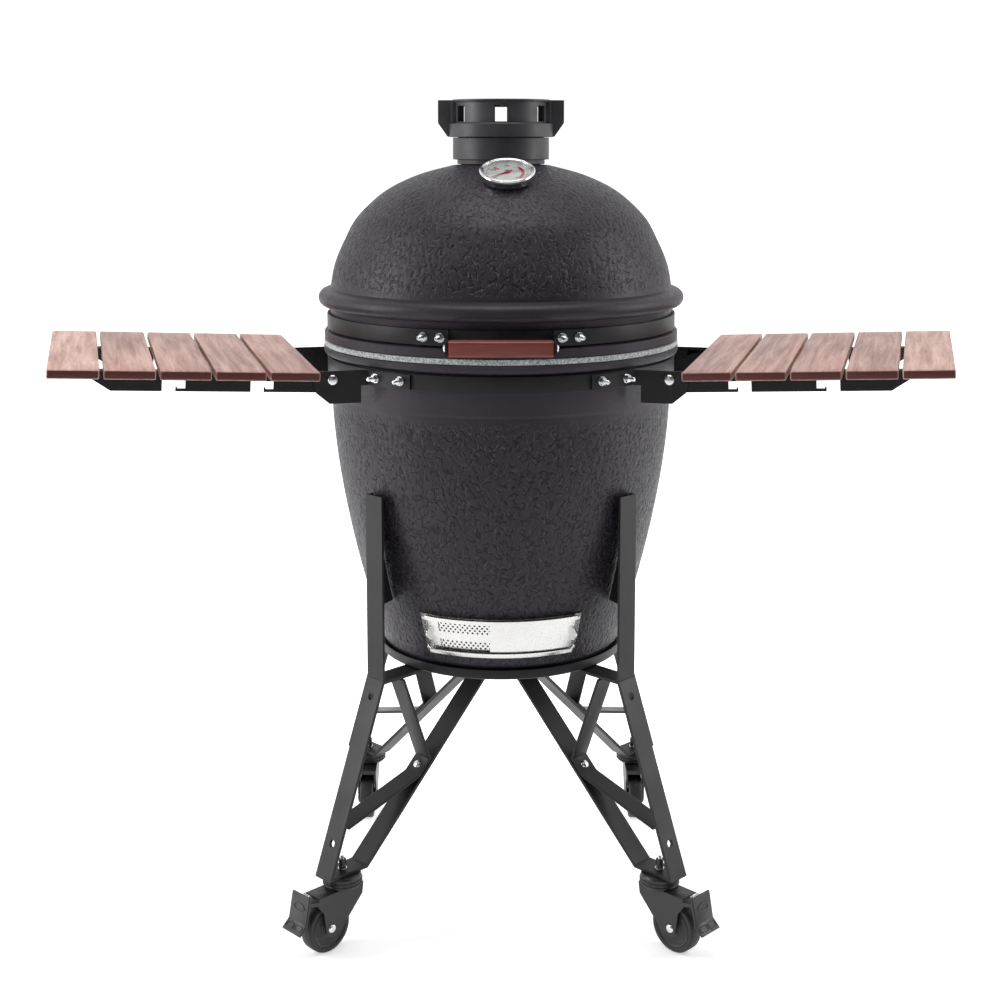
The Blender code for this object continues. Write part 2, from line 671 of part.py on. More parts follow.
def make_draft_door():
    """A stainless frame with two rails, and a screen and a plain door that slide round in it."""
    frame = sector(door_profile(0.0006, 0.0014, DOOR_LOW, DOOR_HIGH), -DOOR_HALF_ANGLE, DOOR_HALF_ANGLE, 14)
    window = sector(
        [(0.15, DRAFT_LOW), (0.25, DRAFT_LOW), (0.25, DRAFT_HIGH), (0.15, DRAFT_HIGH)],
        -DRAFT_HALF_ANGLE + 1, DRAFT_HALF_ANGLE - 1, 8,
    )
    frame = cut(frame, window)
    for low, high, lip_low, lip_high in (
        (DOOR_LOW + 0.0005, DOOR_LOW + 0.0025, DOOR_LOW + 0.0005, DOOR_LOW + 0.0070),
        (DOOR_HIGH - 0.0025, DOOR_HIGH - 0.0005, DOOR_HIGH - 0.0070, DOOR_HIGH - 0.0005),
    ):
        shelf = door_profile(0.0012, 0.0088, low, high)
        lip = door_profile(0.0085, 0.0013, lip_low, lip_high)
        for bend in (shelf, lip):
            frame = fuse(frame, sector(bend, -RAIL_REACH, RAIL_REACH, 12))
    frame.transform(on_axis())
    make("draft_frame", frame, STAINLESS)

    for name, side, inset in (("draft_screen", -1, SCREEN_INSET), ("draft_door", 1, DOOR_INSET)):
        leaf = door_profile(inset, LEAF_THICKNESS, DOOR_LOW + LEAF_MARGIN, DOOR_HIGH - LEAF_MARGIN)
        inner_edge = -4.5 if side > 0 else 1.0
        plate = sector(leaf, side * inner_edge, side * (DOOR_HALF_ANGLE - 3.5), 8)
        tab = door_profile(inset - 0.0002, TAB_REACH, *TAB_HEIGHTS)
        plate = fuse(plate, sector(tab, side * (DOOR_HALF_ANGLE - 4.0), side * (DOOR_HALF_ANGLE - 3.2), 1))
        plate.transform(on_axis())
        make(name, plate, STAINLESS, at_axis(0, 0, DOOR_LOW))


# ------------------------------------------------------------ side shelves

def shelf_frame(side, tilt):
    """Places (out, along, up) from a shelf's pivot; out leaves the grill, along runs backwards."""
    out = Vector((side * math.cos(SHELF_TURN), -math.sin(SHELF_TURN), 0.0))
    along = Vector((side * math.sin(SHELF_TURN), math.cos(SHELF_TURN), 0.0))
    up = Vector((0.0, 0.0, 1.0))
    leaning_out = out * math.cos(tilt) + up * math.sin(tilt)
    leaning_up = up * math.cos(tilt) - out * math.sin(tilt)
    turn = Matrix((leaning_out, along, leaning_up)).transposed().to_4x4()
    pivot = at_axis(out.x * PIVOT_OUT, out.y * PIVOT_OUT, PIVOT_Z)
    return Matrix.Translation(pivot) @ turn


def arm_outline():
    """A shelf arm's web: a chamfered tip, two tool hooks below and a rounded end at the pivot."""
    hook_width = 0.0320
    lip_width = 0.0135
    lip_top = ARM_BOTTOM + 0.0040
    points = [(-0.0120, -0.0070), (-0.0050, ARM_BOTTOM)]
    for start in HOOK_STARTS:
        points += [
            (start + lip_width, ARM_BOTTOM), (start + lip_width, lip_top + 0.0025),
            (start + lip_width - 0.0022, lip_top + 0.0025), (start + lip_width - 0.0022, lip_top),
            (start, lip_top), (start, -0.0034), (start + hook_width, -0.0034),
            (start + hook_width, ARM_BOTTOM),
        ]
    points += [(0.3070, ARM_BOTTOM), (ARM_LENGTH, ARM_TOP), (-0.0085, ARM_TOP), (-0.0120, 0.0060)]
    return points


def make_shelf(word, side):
    """Five boards on two arms, and the two brackets on the lower band that the arms pivot on."""
    tilted = shelf_frame(side, SHELF_TILT)
    level = shelf_frame(side, 0.0)
    pivot = tilted.translation.copy()
    for index in range(BOARDS):
        start = BOARD_START + (BOARDS - 1 - index) * (BOARD_WIDTH + BOARD_GAP)
        board = block(
            (start, -BOARD_LENGTH / 2, BOARD_UNDERSIDE),
            (start + BOARD_WIDTH, BOARD_LENGTH / 2, BOARD_UNDERSIDE + BOARD_THICKNESS),
        )
        bmesh.ops.bevel(
            board, geom=board.edges[:], offset=0.0012, segments=1, affect="EDGES", profile=0.5
        )
        board.transform(tilted)
        make(f"board_{word}_{index + 1}", board, HARDWOOD, pivot)
    for place, way in (("front", -1), ("rear", 1)):
        low, high = sorted((way * ARM_OFFSET, way * (ARM_OFFSET + ARM_THICKNESS)))
        arm = prism(arm_outline(), low, high)
        inner, outer = sorted((way * (ARM_OFFSET + 0.0025), way * (ARM_OFFSET - 0.0180)))
        arm = fuse(arm, block((0.0320, inner, ARM_TOP - ARM_THICKNESS), (0.3460, outer, ARM_TOP - 0.0002)))
        arm = cut(arm, rod(PIN_RADIUS + 0.0004, (0, low - 0.01, 0), (0, high + 0.01, 0)))
        arm.transform(tilted)
        make(f"arm_{word}_{place}", arm, BLACK_STEEL, pivot)
        make_bracket(f"bracket_{word}_{place}", side, way, level)


def make_bracket(name, side, way, level):
    """A plate bolted to the lower band, bent out into a gusset that carries an arm's pivot pin."""
    near = ARM_OFFSET + ARM_THICKNESS + 0.0005
    far = near + BRACKET_THICKNESS
    low, high = sorted((way * near, way * far))
    top = 0.8405 - PIVOT_Z
    outline = [
        (0.2335, 0.8185), (0.2431, 0.8185), (0.2431, 0.7935), (0.2885, 0.7935),
        (0.3075, 0.8095), (0.3105, 0.8200), (0.3105, 0.8405), (0.2335, 0.8405),
    ]
    gusset = prism([(a - PIVOT_OUT, z - PIVOT_Z) for a, z in outline], low, high)
    start, end = sorted((way * (ARM_OFFSET - 0.0020), way * (far + 0.0020)))
    gusset = fuse(gusset, rod(PIN_RADIUS, (0, start, 0), (0, end, 0)))
    gusset.transform(level)
    foot = math.degrees(math.asin((near + 0.0015) / (PLATE_OUTER - 0.0015)))
    side_angle = 90.0 - math.degrees(SHELF_TURN)
    bend = side_angle + way * foot
    bottom = LOWER_BAND[0] + 0.0015
    plate = [(PLATE_INNER, bottom), (PLATE_OUTER, bottom), (PLATE_OUTER, top + PIVOT_Z - 0.0005)]
    plate += [(PLATE_INNER, top + PIVOT_Z - 0.0005)]
    sheet = sector(plate, side * (bend - way * 0.8), side * (bend + way * 17.0), 5)
    sheet.transform(on_axis())
    make(name, fuse(gusset, sheet), BLACK_STEEL)


# -------------------------------------------------------------------- stand

def corner_frame(across, back):
    """Places (out, along, up) on a stand corner's upright diagonal plane through the axis."""
    out = Vector((across, back, 0.0)).normalized()
    along = Vector((-out.y, out.x, 0.0))
    turn = Matrix((out, along, Vector((0, 0, 1)))).transposed().to_4x4()
    return on_axis() @ turn


def offset_outline(points, distance):
    """The outline moved inwards by `distance`; the points run anticlockwise."""
    moved = []
    count = len(points)
    for index in range(count):
        before, here, after = (Vector(points[(index + step) % count]) for step in (-1, 0, 1))
        first = (here - before).normalized()
        second = (after - here).normalized()
        normal_one = Vector((-first.y, first.x))
        normal_two = Vector((-second.y, second.x))
        bisector = (normal_one + normal_two).normalized()
        moved.append(tuple(here + bisector * distance / bisector.dot(normal_one)))
    return moved


def leg_outline():
    """A bent strip: down the outside, along the caster plate, up the inside and back along the top."""
    return [
        (LEG_HEEL, LEG_FLOOR), (LEG_TOE, LEG_FLOOR), (POST_RADIUS, LEG_TOP),
        (0.0560, LEG_TOP), (0.0500, LEG_TOP - 0.006), (0.0500, 0.3345),
    ]


def strip_along(path, thickness, low, high):
    """A strip of even thickness that follows a path of (out, up) points."""
    half = thickness / 2
    left = []
    right = []
    for index, point in enumerate(path):
        here = Vector(point)
        before = Vector(path[max(index - 1, 0)])
        after = Vector(path[min(index + 1, len(path) - 1)])
        first = (here - before).normalized() if index else (after - here).normalized()
        second = (after - here).normalized() if index < len(path) - 1 else first
        normal_one = Vector((-first.y, first.x))
        normal_two = Vector((-second.y, second.x))
        bisector = (normal_one + normal_two).normalized()
        step = bisector * half / bisector.dot(normal_one)
        left.append(tuple(here + step))
        right.append(tuple(here - step))
    return prism(left + right[::-1], low, high)


def make_corner(word, across, back):
    """One corner of the stand: post, leg, brace, caster fork, wheel and, at the front, a brake."""
    frame = corner_frame(across, back)
    half = LEG_WIDTH / 2
    leg = cut(
        prism(leg_outline(), -half, half),
        prism(offset_outline(leg_outline(), LEG_THICKNESS), -half - 0.01, half + 0.01),
    )
    stem = Vector((STEM_RADIUS_FROM_AXIS, 0, 0))
    floor = stem + Vector((0, 0, LEG_FLOOR))
    through = Vector((0, 0, 0.02))
    leg = cut(leg, rod(STEM_HOLE_IN_LEG, floor - through, floor + through))
    slope = Vector((POST_RADIUS - LEG_TOE, LEG_TOP - LEG_FLOOR)).normalized()
    for height in LEG_HOLE_HEIGHTS:
        along = (height - LEG_FLOOR) / slope.y
        out = LEG_TOE + slope.x * along
        across_strip = Vector((slope.y, 0, -slope.x)) * 0.015
        middle = Vector((out, 0, height))
        leg = cut(leg, rod(LEG_HOLE_RADIUS, middle + across_strip, middle - across_strip))
    leg.transform(frame)
    make(f"leg_{word}", leg, BLACK_STEEL)

    path = [(0.2185, 0.3730), (0.1668, 0.2360), (0.1888, 0.2155), (STEM_RADIUS_FROM_AXIS, 0.1770)]
    brace = strip_along(path, BRACE_THICKNESS, 0.001 - half, half - 0.001)
    brace.transform(frame)
    make(f"brace_{word}", brace, BLACK_STEEL)

    facing = -1 if across * back > 0 else 1
    half = POST_WIDTH / 2
    post = block((POST_RADIUS - POST_THICKNESS, -half, LEG_TOP + GAP), (POST_RADIUS, half, POST_TOP))
    fin = [(POST_RADIUS - 0.002, 0.4800)]
    fin += [(POST_RADIUS - 0.002, POST_TOP - 0.0002)]
    fin += [(base_radius(z) + 0.0015, z) for z in reversed(spread(0.4880, POST_TOP - 0.0002, 6))]
    low, high = sorted((facing * (half - 0.0002), facing * (half - POST_THICKNESS)))
    post = fuse(post, prism(fin, low, high))
    post.transform(frame)
    make(f"post_{word}", post, BLACK_STEEL)

    swivel = frame @ Matrix.Translation(stem)
    if back > 0:
        swivel = Matrix.Translation(swivel.translation) @ Matrix.Rotation(math.radians(-90), 4, "Z")
    make_caster(word, swivel, back < 0)


def make_caster(word, stem, braked):
    """A swivel fork on its stem, and a wheel that trails behind the stem.

    The front casters trail outwards along the corner's diagonal, the rear ones forwards.
    """
    side = CHEEK_INNER
    wall = CHEEK_WALL
    top = LEG_FLOOR - GAP
    head = lathe([(0.0, HEAD_LOW), (0.0255, HEAD_LOW), (HEAD_RADIUS, HEAD_LOW + 0.0025),
                  (HEAD_RADIUS, top - 0.003), (0.0262, top), (STEM_RADIUS, top),
                  (STEM_RADIUS, STEM_TOP), (0.0, STEM_TOP)], 16)
    bridge = block((-0.0200, -side - 0.001, 0.0830), (0.0550, side + 0.001, 0.0895))
    cheek = [(-0.0265, 0.0893), (-0.0240, 0.0720), (0.0180, 0.0290), (0.0330, 0.0240), (0.0430, 0.0330)]
    cheek += [(0.0470, 0.0640), (0.0560, 0.0760), (0.0560, 0.0893)]
    fork = fuse(head, bridge)
    for low in (-side - wall, side):
        fork = fuse(fork, prism(cheek, low, low + wall))
    axle = (CASTER_TRAIL, 0.0, WHEEL_RADIUS)
    reach = Vector((0, side + wall + 0.001, 0))
    fork = fuse(fork, rod(AXLE_RADIUS, Vector(axle) - reach, Vector(axle) + reach))
    fork.transform(stem)
    make(f"caster_fork_{word}", fork, CASTER_PLASTIC, stem.translation.copy())

    half = WHEEL_HALF_WIDTH
    hub = HUB_HALF_WIDTH
    wheel = lathe([
        (BORE_RADIUS, -hub), (0.0090, -hub), (0.0110, -half), (0.0340, -half),
        (WHEEL_RADIUS, -half + 0.004), (WHEEL_RADIUS, half - 0.004),
        (0.0340, half), (0.0110, half), (0.0090, hub), (BORE_RADIUS, hub),
    ], 24)
    wheel.transform(stem @ Matrix.Translation(axle) @ Matrix.Rotation(math.radians(90), 4, "X"))
    make(f"wheel_{word}", wheel, TYRE, stem @ Vector(axle))

    if braked:
        pedal = [
            (0.0725, 0.0985), (0.0760, 0.0990), (0.0835, 0.0610), (0.0960, 0.0500), (0.0935, 0.0470),
            (0.0800, 0.0580), (0.0745, 0.0855), (0.0600, 0.0810), (0.0575, 0.0840), (0.0590, 0.0880),
            (0.0735, 0.0905),
        ]
        lever = prism(pedal, -PEDAL_HALF_WIDTH, PEDAL_HALF_WIDTH)
        lever.transform(stem)
        pivot = Vector((PEDAL_PIVOT[0], 0.0, PEDAL_PIVOT[1]))
        make(f"brake_pedal_{word}", lever, CASTER_PLASTIC, stem @ pivot)


def make_stand():
    """A shallow pan under the ceramic, and the four corners."""
    bottom = LEG_TOP + GAP
    pan = lathe([(RING_HOLE, bottom), (0.1885, bottom), (RING_RADIUS, bottom + 0.002),
                 (RING_RADIUS, RING_TOP), (0.1882, RING_TOP), (0.1880, RING_FLOOR), (RING_HOLE, RING_FLOOR)])
    pan.transform(on_axis())
    make("base_ring", pan, BLACK_STEEL)
    for word, across, back in (
        ("front_left", -1, -1), ("front_right", 1, -1), ("rear_left", -1, 1), ("rear_right", 1, 1)
    ):
        make_corner(word, across, back)


make_base()
band("lower_band", LOWER_BAND)
make_lid()
band("upper_band", UPPER_BAND)
make_hinge()
make_handle()
make_vent()
make_thermometer()
make_draft_door()
make_shelf("left", -1)
make_shelf("right", 1)
make_stand()
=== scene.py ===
import json
import math

import bmesh
import bpy
import numpy as np
from mathutils import Matrix, Vector


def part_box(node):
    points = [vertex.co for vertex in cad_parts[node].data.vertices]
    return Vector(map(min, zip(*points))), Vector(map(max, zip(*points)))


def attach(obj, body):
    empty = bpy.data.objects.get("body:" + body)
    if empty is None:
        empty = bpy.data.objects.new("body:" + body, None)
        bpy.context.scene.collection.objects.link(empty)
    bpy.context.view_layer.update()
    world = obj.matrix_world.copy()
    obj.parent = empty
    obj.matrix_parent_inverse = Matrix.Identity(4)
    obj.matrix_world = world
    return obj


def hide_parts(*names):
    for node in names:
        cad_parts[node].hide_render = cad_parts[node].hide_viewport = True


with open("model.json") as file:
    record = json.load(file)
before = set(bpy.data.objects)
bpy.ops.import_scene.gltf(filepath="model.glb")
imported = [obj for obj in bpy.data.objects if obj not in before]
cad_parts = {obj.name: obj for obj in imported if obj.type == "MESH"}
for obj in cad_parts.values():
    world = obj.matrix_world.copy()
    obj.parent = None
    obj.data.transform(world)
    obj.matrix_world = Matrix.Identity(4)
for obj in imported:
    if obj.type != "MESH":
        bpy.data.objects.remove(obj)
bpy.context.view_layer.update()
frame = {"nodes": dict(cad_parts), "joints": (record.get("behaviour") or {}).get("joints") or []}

# ---------------------------------------------------------------- studio
# A pale floor without an edge, a white room that is dimmer on the viewer's side, and large
# soft lamps to the left, to the right and above. The camera stands level with the lid's top.

VIEW_DISTANCE = 2.399
VIEW_HEIGHT = 1.166
VIEW_PITCH = math.radians(6.74)
band_low, band_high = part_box("lower_band")
AXIS = (band_low + band_high) / 2
AXIS_Y = AXIS.y

camera_data = bpy.data.cameras.new("camera")
camera_data.lens = 56.2
camera_data.sensor_width = 36.0
camera_data.shift_x = -0.001
camera_data.shift_y = -0.175
camera = bpy.data.objects.new("camera", camera_data)
camera.location = (0.0, AXIS_Y - VIEW_DISTANCE, VIEW_HEIGHT)
camera.rotation_euler = (math.pi / 2 - VIEW_PITCH, 0.0, 0.0)
bpy.context.collection.objects.link(camera)
bpy.context.scene.camera = camera
bpy.context.scene.view_settings.view_transform = "Standard"


def feed(tree, node, inputs):
    """Sets a node's inputs: each is a plain value or another node's output."""
    for key, value in inputs.items():
        if isinstance(value, bpy.types.NodeSocket):
            tree.links.new(value, node.inputs[key])
        else:
            node.inputs[key].default_value = value


def put(tree, kind, inputs=None, **settings):
    """Adds a shader node with its inputs."""
    node = tree.nodes.new("ShaderNode" + kind)
    for key, value in settings.items():
        setattr(node, key, value)
    feed(tree, node, inputs or {})
    return node


def remap(tree, value, low, high, first, last):
    """Carries low..high of a value to first..last and holds it outside them."""
    return put(tree, "MapRange", {"Value": value, 1: low, 2: high, 3: first, 4: last}).outputs["Result"]


def surface(name):
    """A new material with its node tree and its shader."""
    material = bpy.data.materials.new(name)
    material.use_nodes = True
    return material, material.node_tree, material.node_tree.nodes["Principled BSDF"]


def lamp(name, place, target, width, height, watts):
    """A rectangular area lamp that faces a point."""
    data = bpy.data.lights.new(name, "AREA")
    data.shape = "RECTANGLE"
    data.size = width
    data.size_y = height
    data.energy = watts
    light = bpy.data.objects.new(name, data)
    light.location = place
    light.rotation_euler = (Vector(target) - Vector(place)).to_track_quat("-Z", "Y").to_euler()
    bpy.context.collection.objects.link(light)


lamp("lamp_left", (-2.7, -0.5, 1.4), (0, 0, 0.75), 1.0, 2.4, 60)
lamp("lamp_right", (2.7, -0.1, 1.4), (0, 0, 0.75), 0.9, 2.4, 40)
lamp("lamp_above", (0.0, -0.5, 3.2), (0, 0, 0.9), 2.0, 1.4, 38)
lamp("lamp_front", (-1.3, -3.2, 1.9), (0, 0, 0.7), 0.8, 1.2, 5)

world = bpy.data.worlds.new("white_room")
world.use_nodes = True
bpy.context.scene.world = world
room = world.node_tree
room_direction = put(room, "TexCoord").outputs["Generated"]
room_split = put(room, "SeparateXYZ", {"Vector": room_direction})
room_glow = remap(room, room_split.outputs["Y"], -0.45, 0.50, 0.05, 1.05)
feed(room, room.nodes["Background"], {"Color": (1.0, 1.0, 1.0, 1.0), "Strength": room_glow})

floor_mesh = bpy.data.meshes.new("floor")
floor_turns = np.linspace(0, 2 * np.pi, 64, endpoint=False)
FLOOR_RADIUS = 30.0
floor_rim = FLOOR_RADIUS * np.stack([np.cos(floor_turns), np.sin(floor_turns), 0 * floor_turns], axis=1)
floor_mesh.from_pydata(floor_rim.tolist(), [], [list(range(64))])
floor = bpy.data.objects.new("floor", floor_mesh)
bpy.context.collection.objects.link(floor)
paper, paper_tree, paper_shader = surface("studio_paper")
paper_split = put(paper_tree, "SeparateXYZ", {"Vector": put(paper_tree, "TexCoord").outputs["Object"]})
# painted light: the floor glows, faintly in front of the grill and strongly behind it
paper_glow = remap(paper_tree, paper_split.outputs["Y"], -0.9, 0.9, 0.05, 0.95)
feed(paper_tree, paper_shader, {"Base Color": (0.93, 0.93, 0.93, 1.0), "Roughness": 0.9,
                                "Emission Color": (1.0, 1.0, 1.0, 1.0), "Emission Strength": paper_glow})
floor_mesh.materials.append(paper)


# ---------------------------------------------------------- ceramic base
# A thick stoneware bowl, cast in one piece and glazed in a matt charcoal with short upright
# dents all over its wall. Its collar and rim are left smooth for the band and the gasket, and
# an opening low at the front lets the air in behind the draft door.

WALL_LOW, WALL_HIGH = 0.3925, 0.7815
WALL_THICKNESS = 0.025
DRAFT_LOW, DRAFT_HIGH = 0.430, 0.468
DRAFT_HALF_ANGLE = 27.0
DENT_SPACING = 0.0088
DENT_DEPTH = 0.0005
HALF_COLUMNS = 400
shell_low, shell_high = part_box("base_shell")
LIP_RADIUS = shell_high.x
BASE_RIM = shell_high.z
COLLAR_RADIUS = 0.2618


def finished(name, points, faces, material, body, sharp=32.0, attributes=None):
    """Makes one closed mesh object of points and faces, its poles merged and its faces outwards."""
    mesh = bpy.data.meshes.new(name)
    mesh.from_pydata(np.asarray(points).reshape(-1, 3).tolist(), [], faces)
    for key, values in (attributes or {}).items():
        kind = "FLOAT_VECTOR" if values.ndim == 2 else "FLOAT"
        layer = mesh.attributes.new(key, kind, "POINT")
        layer.data.foreach_set("vector" if values.ndim == 2 else "value", values.astype(np.float32).ravel())
    edit = bmesh.new()
    edit.from_mesh(mesh)
    bmesh.ops.remove_doubles(edit, verts=edit.verts, dist=2e-6)
    bmesh.ops.recalc_face_normals(edit, faces=edit.faces)
    edit.to_mesh(mesh)
    edit.free()
    mesh.materials.append(material)
    mesh.shade_smooth()
    mesh.set_sharp_from_angle(angle=math.radians(sharp))
    thing = bpy.data.objects.new(name, mesh)
    bpy.context.collection.objects.link(thing)
    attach(thing, body)
    return thing


def grid_faces(rows, columns, rows_close, columns_close):
    """The four-cornered faces of a grid of points, as an array; either way round may close."""
    row = np.arange(rows if rows_close else rows - 1)
    column = np.arange(columns if columns_close else columns - 1)
    row, column = np.meshgrid(row, column, indexing="ij")
    after_row, after_column = (row + 1) % rows, (column + 1) % columns
    corners = (row * columns + column, row * columns + after_column,
               after_row * columns + after_column, after_row * columns + column)
    return np.stack(corners, axis=-1)


def side_caps(rows, columns):
    """Two faces that close a grid at its first and its last column."""
    first = np.arange(rows) * columns
    return [first.tolist(), (first + columns - 1).tolist()]


def end_caps(rows, columns):
    """Two faces that close a grid at its first and its last row."""
    return [list(range(columns)), list(range((rows - 1) * columns, rows * columns))]


def windowed_faces(rows, columns, closes, outer, inner, spans):
    """The faces of a swept closed outline with windows through its wall.

    A window takes the faces between two rows of the outer wall and the same two heights of
    the inner wall over a span of columns, and lines the hole's four sides.
    """
    quads = grid_faces(rows, columns, True, closes)
    keep = np.ones(quads.shape[:2], bool)
    lining = []
    for left, right in spans:
        column = np.arange(left, right) % columns
        after = (column + 1) % columns
        keep[outer[0]:outer[1], column] = False
        keep[inner[0]:inner[1], column] = False
        for outer_row, inner_row in ((outer[0], inner[1]), (outer[1], inner[0])):
            a, b = outer_row * columns, inner_row * columns
            lining += np.stack([a + column, a + after, b + after, b + column], axis=1).tolist()
        for edge in (left % columns, right % columns):
            outside = (np.arange(outer[0], outer[1] + 1) * columns + edge).tolist()
            within = (np.arange(inner[0], inner[1] + 1) * columns + edge).tolist()
            lining.append(outside + within)
    return quads[keep].tolist() + lining


def swept(profile, first, last, steps):
    """Carries a closed (radius, height) outline round the ceramic's axis between two angles.

    A point is (r sin a, axis - r cos a, z), so an angle of 0 is the front and 90 the right.
    """
    profile = np.asarray(profile, float)
    angle = np.radians(np.linspace(first, last, steps + 1))
    radius, height = profile[:, 0:1], profile[:, 1:2]
    across = radius * np.sin(angle)
    back = AXIS_Y - radius * np.cos(angle)
    return np.stack([across, back, height + 0 * across], axis=-1)


def sector(profile, first, last, steps):
    """A swept outline with its two ends closed: (points, faces)."""
    points = swept(profile, first, last, steps)
    rows, columns = points.shape[:2]
    faces = grid_faces(rows, columns, True, False).reshape(-1, 4).tolist()
    return points.reshape(-1, 3), faces + side_caps(rows, columns)


def wall_radius(height):
    """Outer radius of the base: foot + swell * (1 - (1 - u) ** 1.64), u the share of its height."""
    share = np.clip((np.asarray(height) - WALL_LOW) / (WALL_HIGH - WALL_LOW), 0.0, 1.0)
    return 0.1835 + 0.077 * (1.0 - (1.0 - share) ** 1.64)


def dents(points):
    """How deep the glaze is pressed at each point, from 0 to 1.

    The sum of many plane waves of nearly one length, in directions that lie close to level, is
    high in short upright patches; what is above a threshold becomes a dent.
    """
    chance = np.random.default_rng(11)
    waves = 56
    heading = chance.uniform(0, 2 * np.pi, waves)
    pitch = chance.normal(0, 0.42, waves)
    length = 2 * np.pi / (DENT_SPACING * chance.uniform(0.82, 1.25, waves))
    wave = np.stack([np.cos(heading), np.sin(heading), pitch]) * length
    phase = chance.uniform(0, 2 * np.pi, waves)
    total = np.cos(points @ wave + phase).sum(axis=1) / math.sqrt(waves / 2)
    rise = np.clip((total - 0.35) / 0.9, 0.0, 1.0)
    return rise * rise * (3 - 2 * rise)


def fade_between(values, low, high):
    """0 below low and 1 above high, smooth between."""
    share = np.clip((values - low) / (high - low), 0.0, 1.0)
    return share * share * (3 - 2 * share)


def pressed(points, outward, share):
    """Moves the points inwards along their outward direction where the glaze is dented."""
    depth = dents(points) * share
    return points - outward * (depth * DENT_DEPTH)[:, None], depth


def noise(tree, place, scale, detail, **more):
    """A cloudy value between 0 and 1."""
    return put(tree, "TexNoise", {"Vector": place, "Scale": scale, "Detail": detail, **more}).outputs["Fac"]


def scaled(tree, place, scale):
    """Coordinates stretched along each axis."""
    return put(tree, "Mapping", {"Vector": place, "Scale": scale}).outputs["Vector"]


def reckon(tree, operation, *values):
    """A sum on one or two values."""
    return put(tree, "Math", dict(enumerate(values)), operation=operation).outputs["Value"]


def tint_between(tree, share, first, second):
    """The colour at a share of the way between two."""
    return put(tree, "Mix", {0: share, 6: first, 7: second}, data_type="RGBA").outputs[2]


def bumped(tree, height, strength, distance, **more):
    """A surface direction tilted by a height."""
    inputs = {"Height": height, "Strength": strength, "Distance": distance, **more}
    return put(tree, "Bump", inputs).outputs["Normal"]


def glaze_material():
    """Matt charcoal glaze: short wandering strokes pressed into it, fine pinholes and soft blotches.

    A stroke follows the line where a noise crosses its middle value, and a second noise breaks that
    line into pieces. Its floor and the mesh's dents are darkened as painted shade; its rim is a little paler.
    """
    material, tree, shader = surface("charcoal_glaze")
    place = put(tree, "TexCoord").outputs["Object"]
    dent = put(tree, "Attribute", attribute_name="dent").outputs["Fac"]
    wall = put(tree, "Attribute", attribute_name="dented").outputs["Fac"]
    upright = scaled(tree, place, (122.0, 122.0, 90.0))
    wander = noise(tree, upright, 1.0, 0.5)
    from_line = reckon(tree, "SUBTRACT", wander, 0.5)
    off_line = reckon(tree, "ABSOLUTE", from_line)
    gaps = noise(tree, place, 165.0, 0.5)
    broken = remap(tree, gaps, 0.45, 0.50, 0.0, 1.0)
    stroke_share = reckon(tree, "MULTIPLY", broken, wall)
    pressed_in = remap(tree, off_line, 0.045, 0.090, 1.0, 0.0)
    floor_share = reckon(tree, "MULTIPLY", pressed_in, stroke_share)
    edge = remap(tree, off_line, 0.090, 0.150, 1.0, 0.0)
    edge_share = reckon(tree, "MULTIPLY", edge, stroke_share)
    blotch = noise(tree, place, 14.0, 3.0)
    grain = noise(tree, place, 620.0, 3.0, Roughness=0.6)
    peel = noise(tree, place, 190.0, 2.0)
    tone = remap(tree, blotch, 0.3, 0.7, 0.0, 1.0)
    body_tone = tint_between(tree, tone, (0.0200, 0.0165, 0.0235, 1.0), (0.0285, 0.0235, 0.0325, 1.0))
    rimmed = tint_between(tree, edge_share, body_tone, (0.046, 0.043, 0.049, 1.0))
    # painted shade: the floor of each stroke is darkened
    stroke_floor_shaded = tint_between(tree, floor_share, rimmed, (0.0090, 0.0080, 0.0105, 1.0))
    # painted shade: the mesh's dents are darkened by their depth
    dent_shade_share = reckon(tree, "MULTIPLY", dent, 0.35)
    dent_shaded = tint_between(tree, dent_shade_share, stroke_floor_shaded, (0.0090, 0.0080, 0.0105, 1.0))
    fleck = remap(tree, grain, 0.64, 0.74, 0.0, 0.30)
    speckled = tint_between(tree, fleck, dent_shaded, (0.075, 0.073, 0.078, 1.0))
    matt = remap(tree, peel, 0.3, 0.7, 0.40, 0.54)
    sunk_height = reckon(tree, "SUBTRACT", 1.0, floor_share)
    relief = bumped(tree, sunk_height, 0.90, 0.0015)
    first = bumped(tree, peel, 0.25, 0.0006, Normal=relief)
    second = bumped(tree, grain, 0.20, 0.0002, Normal=first)
    feed(tree, shader, {"Base Color": speckled, "Roughness": matt, "Normal": second,
                        "Specular IOR Level": 0.28})
    return material


GLAZE = glaze_material()

outer_heights = np.concatenate([
    np.linspace(0.4000, DRAFT_LOW, 16)[:-1], np.linspace(DRAFT_LOW, DRAFT_HIGH, 20)[:-1],
    np.linspace(DRAFT_HIGH, WALL_HIGH, 150),
])
foot = [(0.0, shell_low.z), (0.158, shell_low.z), (0.170, 0.3876), (0.178, 0.3900), (0.1815, 0.3935)]
outer_wall = np.stack([wall_radius(outer_heights), outer_heights], axis=1)
rim = [(COLLAR_RADIUS - 0.0005, 0.7835), (COLLAR_RADIUS, 0.7860), (COLLAR_RADIUS, 0.8425), (0.2630, 0.8440),
       (0.2690, 0.8455), (0.2714, 0.8472), (LIP_RADIUS, 0.8495), (LIP_RADIUS, BASE_RIM - 0.0015),
       (LIP_RADIUS - 0.0015, BASE_RIM), (0.2455, BASE_RIM), (0.2440, BASE_RIM - 0.0015), (0.2440, 0.8400)]
inner_heights = np.concatenate([[WALL_HIGH, 0.70, 0.62, 0.54], [DRAFT_HIGH, DRAFT_LOW], [0.4200]])
inner_wall = np.stack([wall_radius(inner_heights) - WALL_THICKNESS, inner_heights], axis=1)
bowl = np.concatenate([foot, outer_wall, rim, inner_wall, [(0.135, 0.4120), (0.0, 0.4120)]])

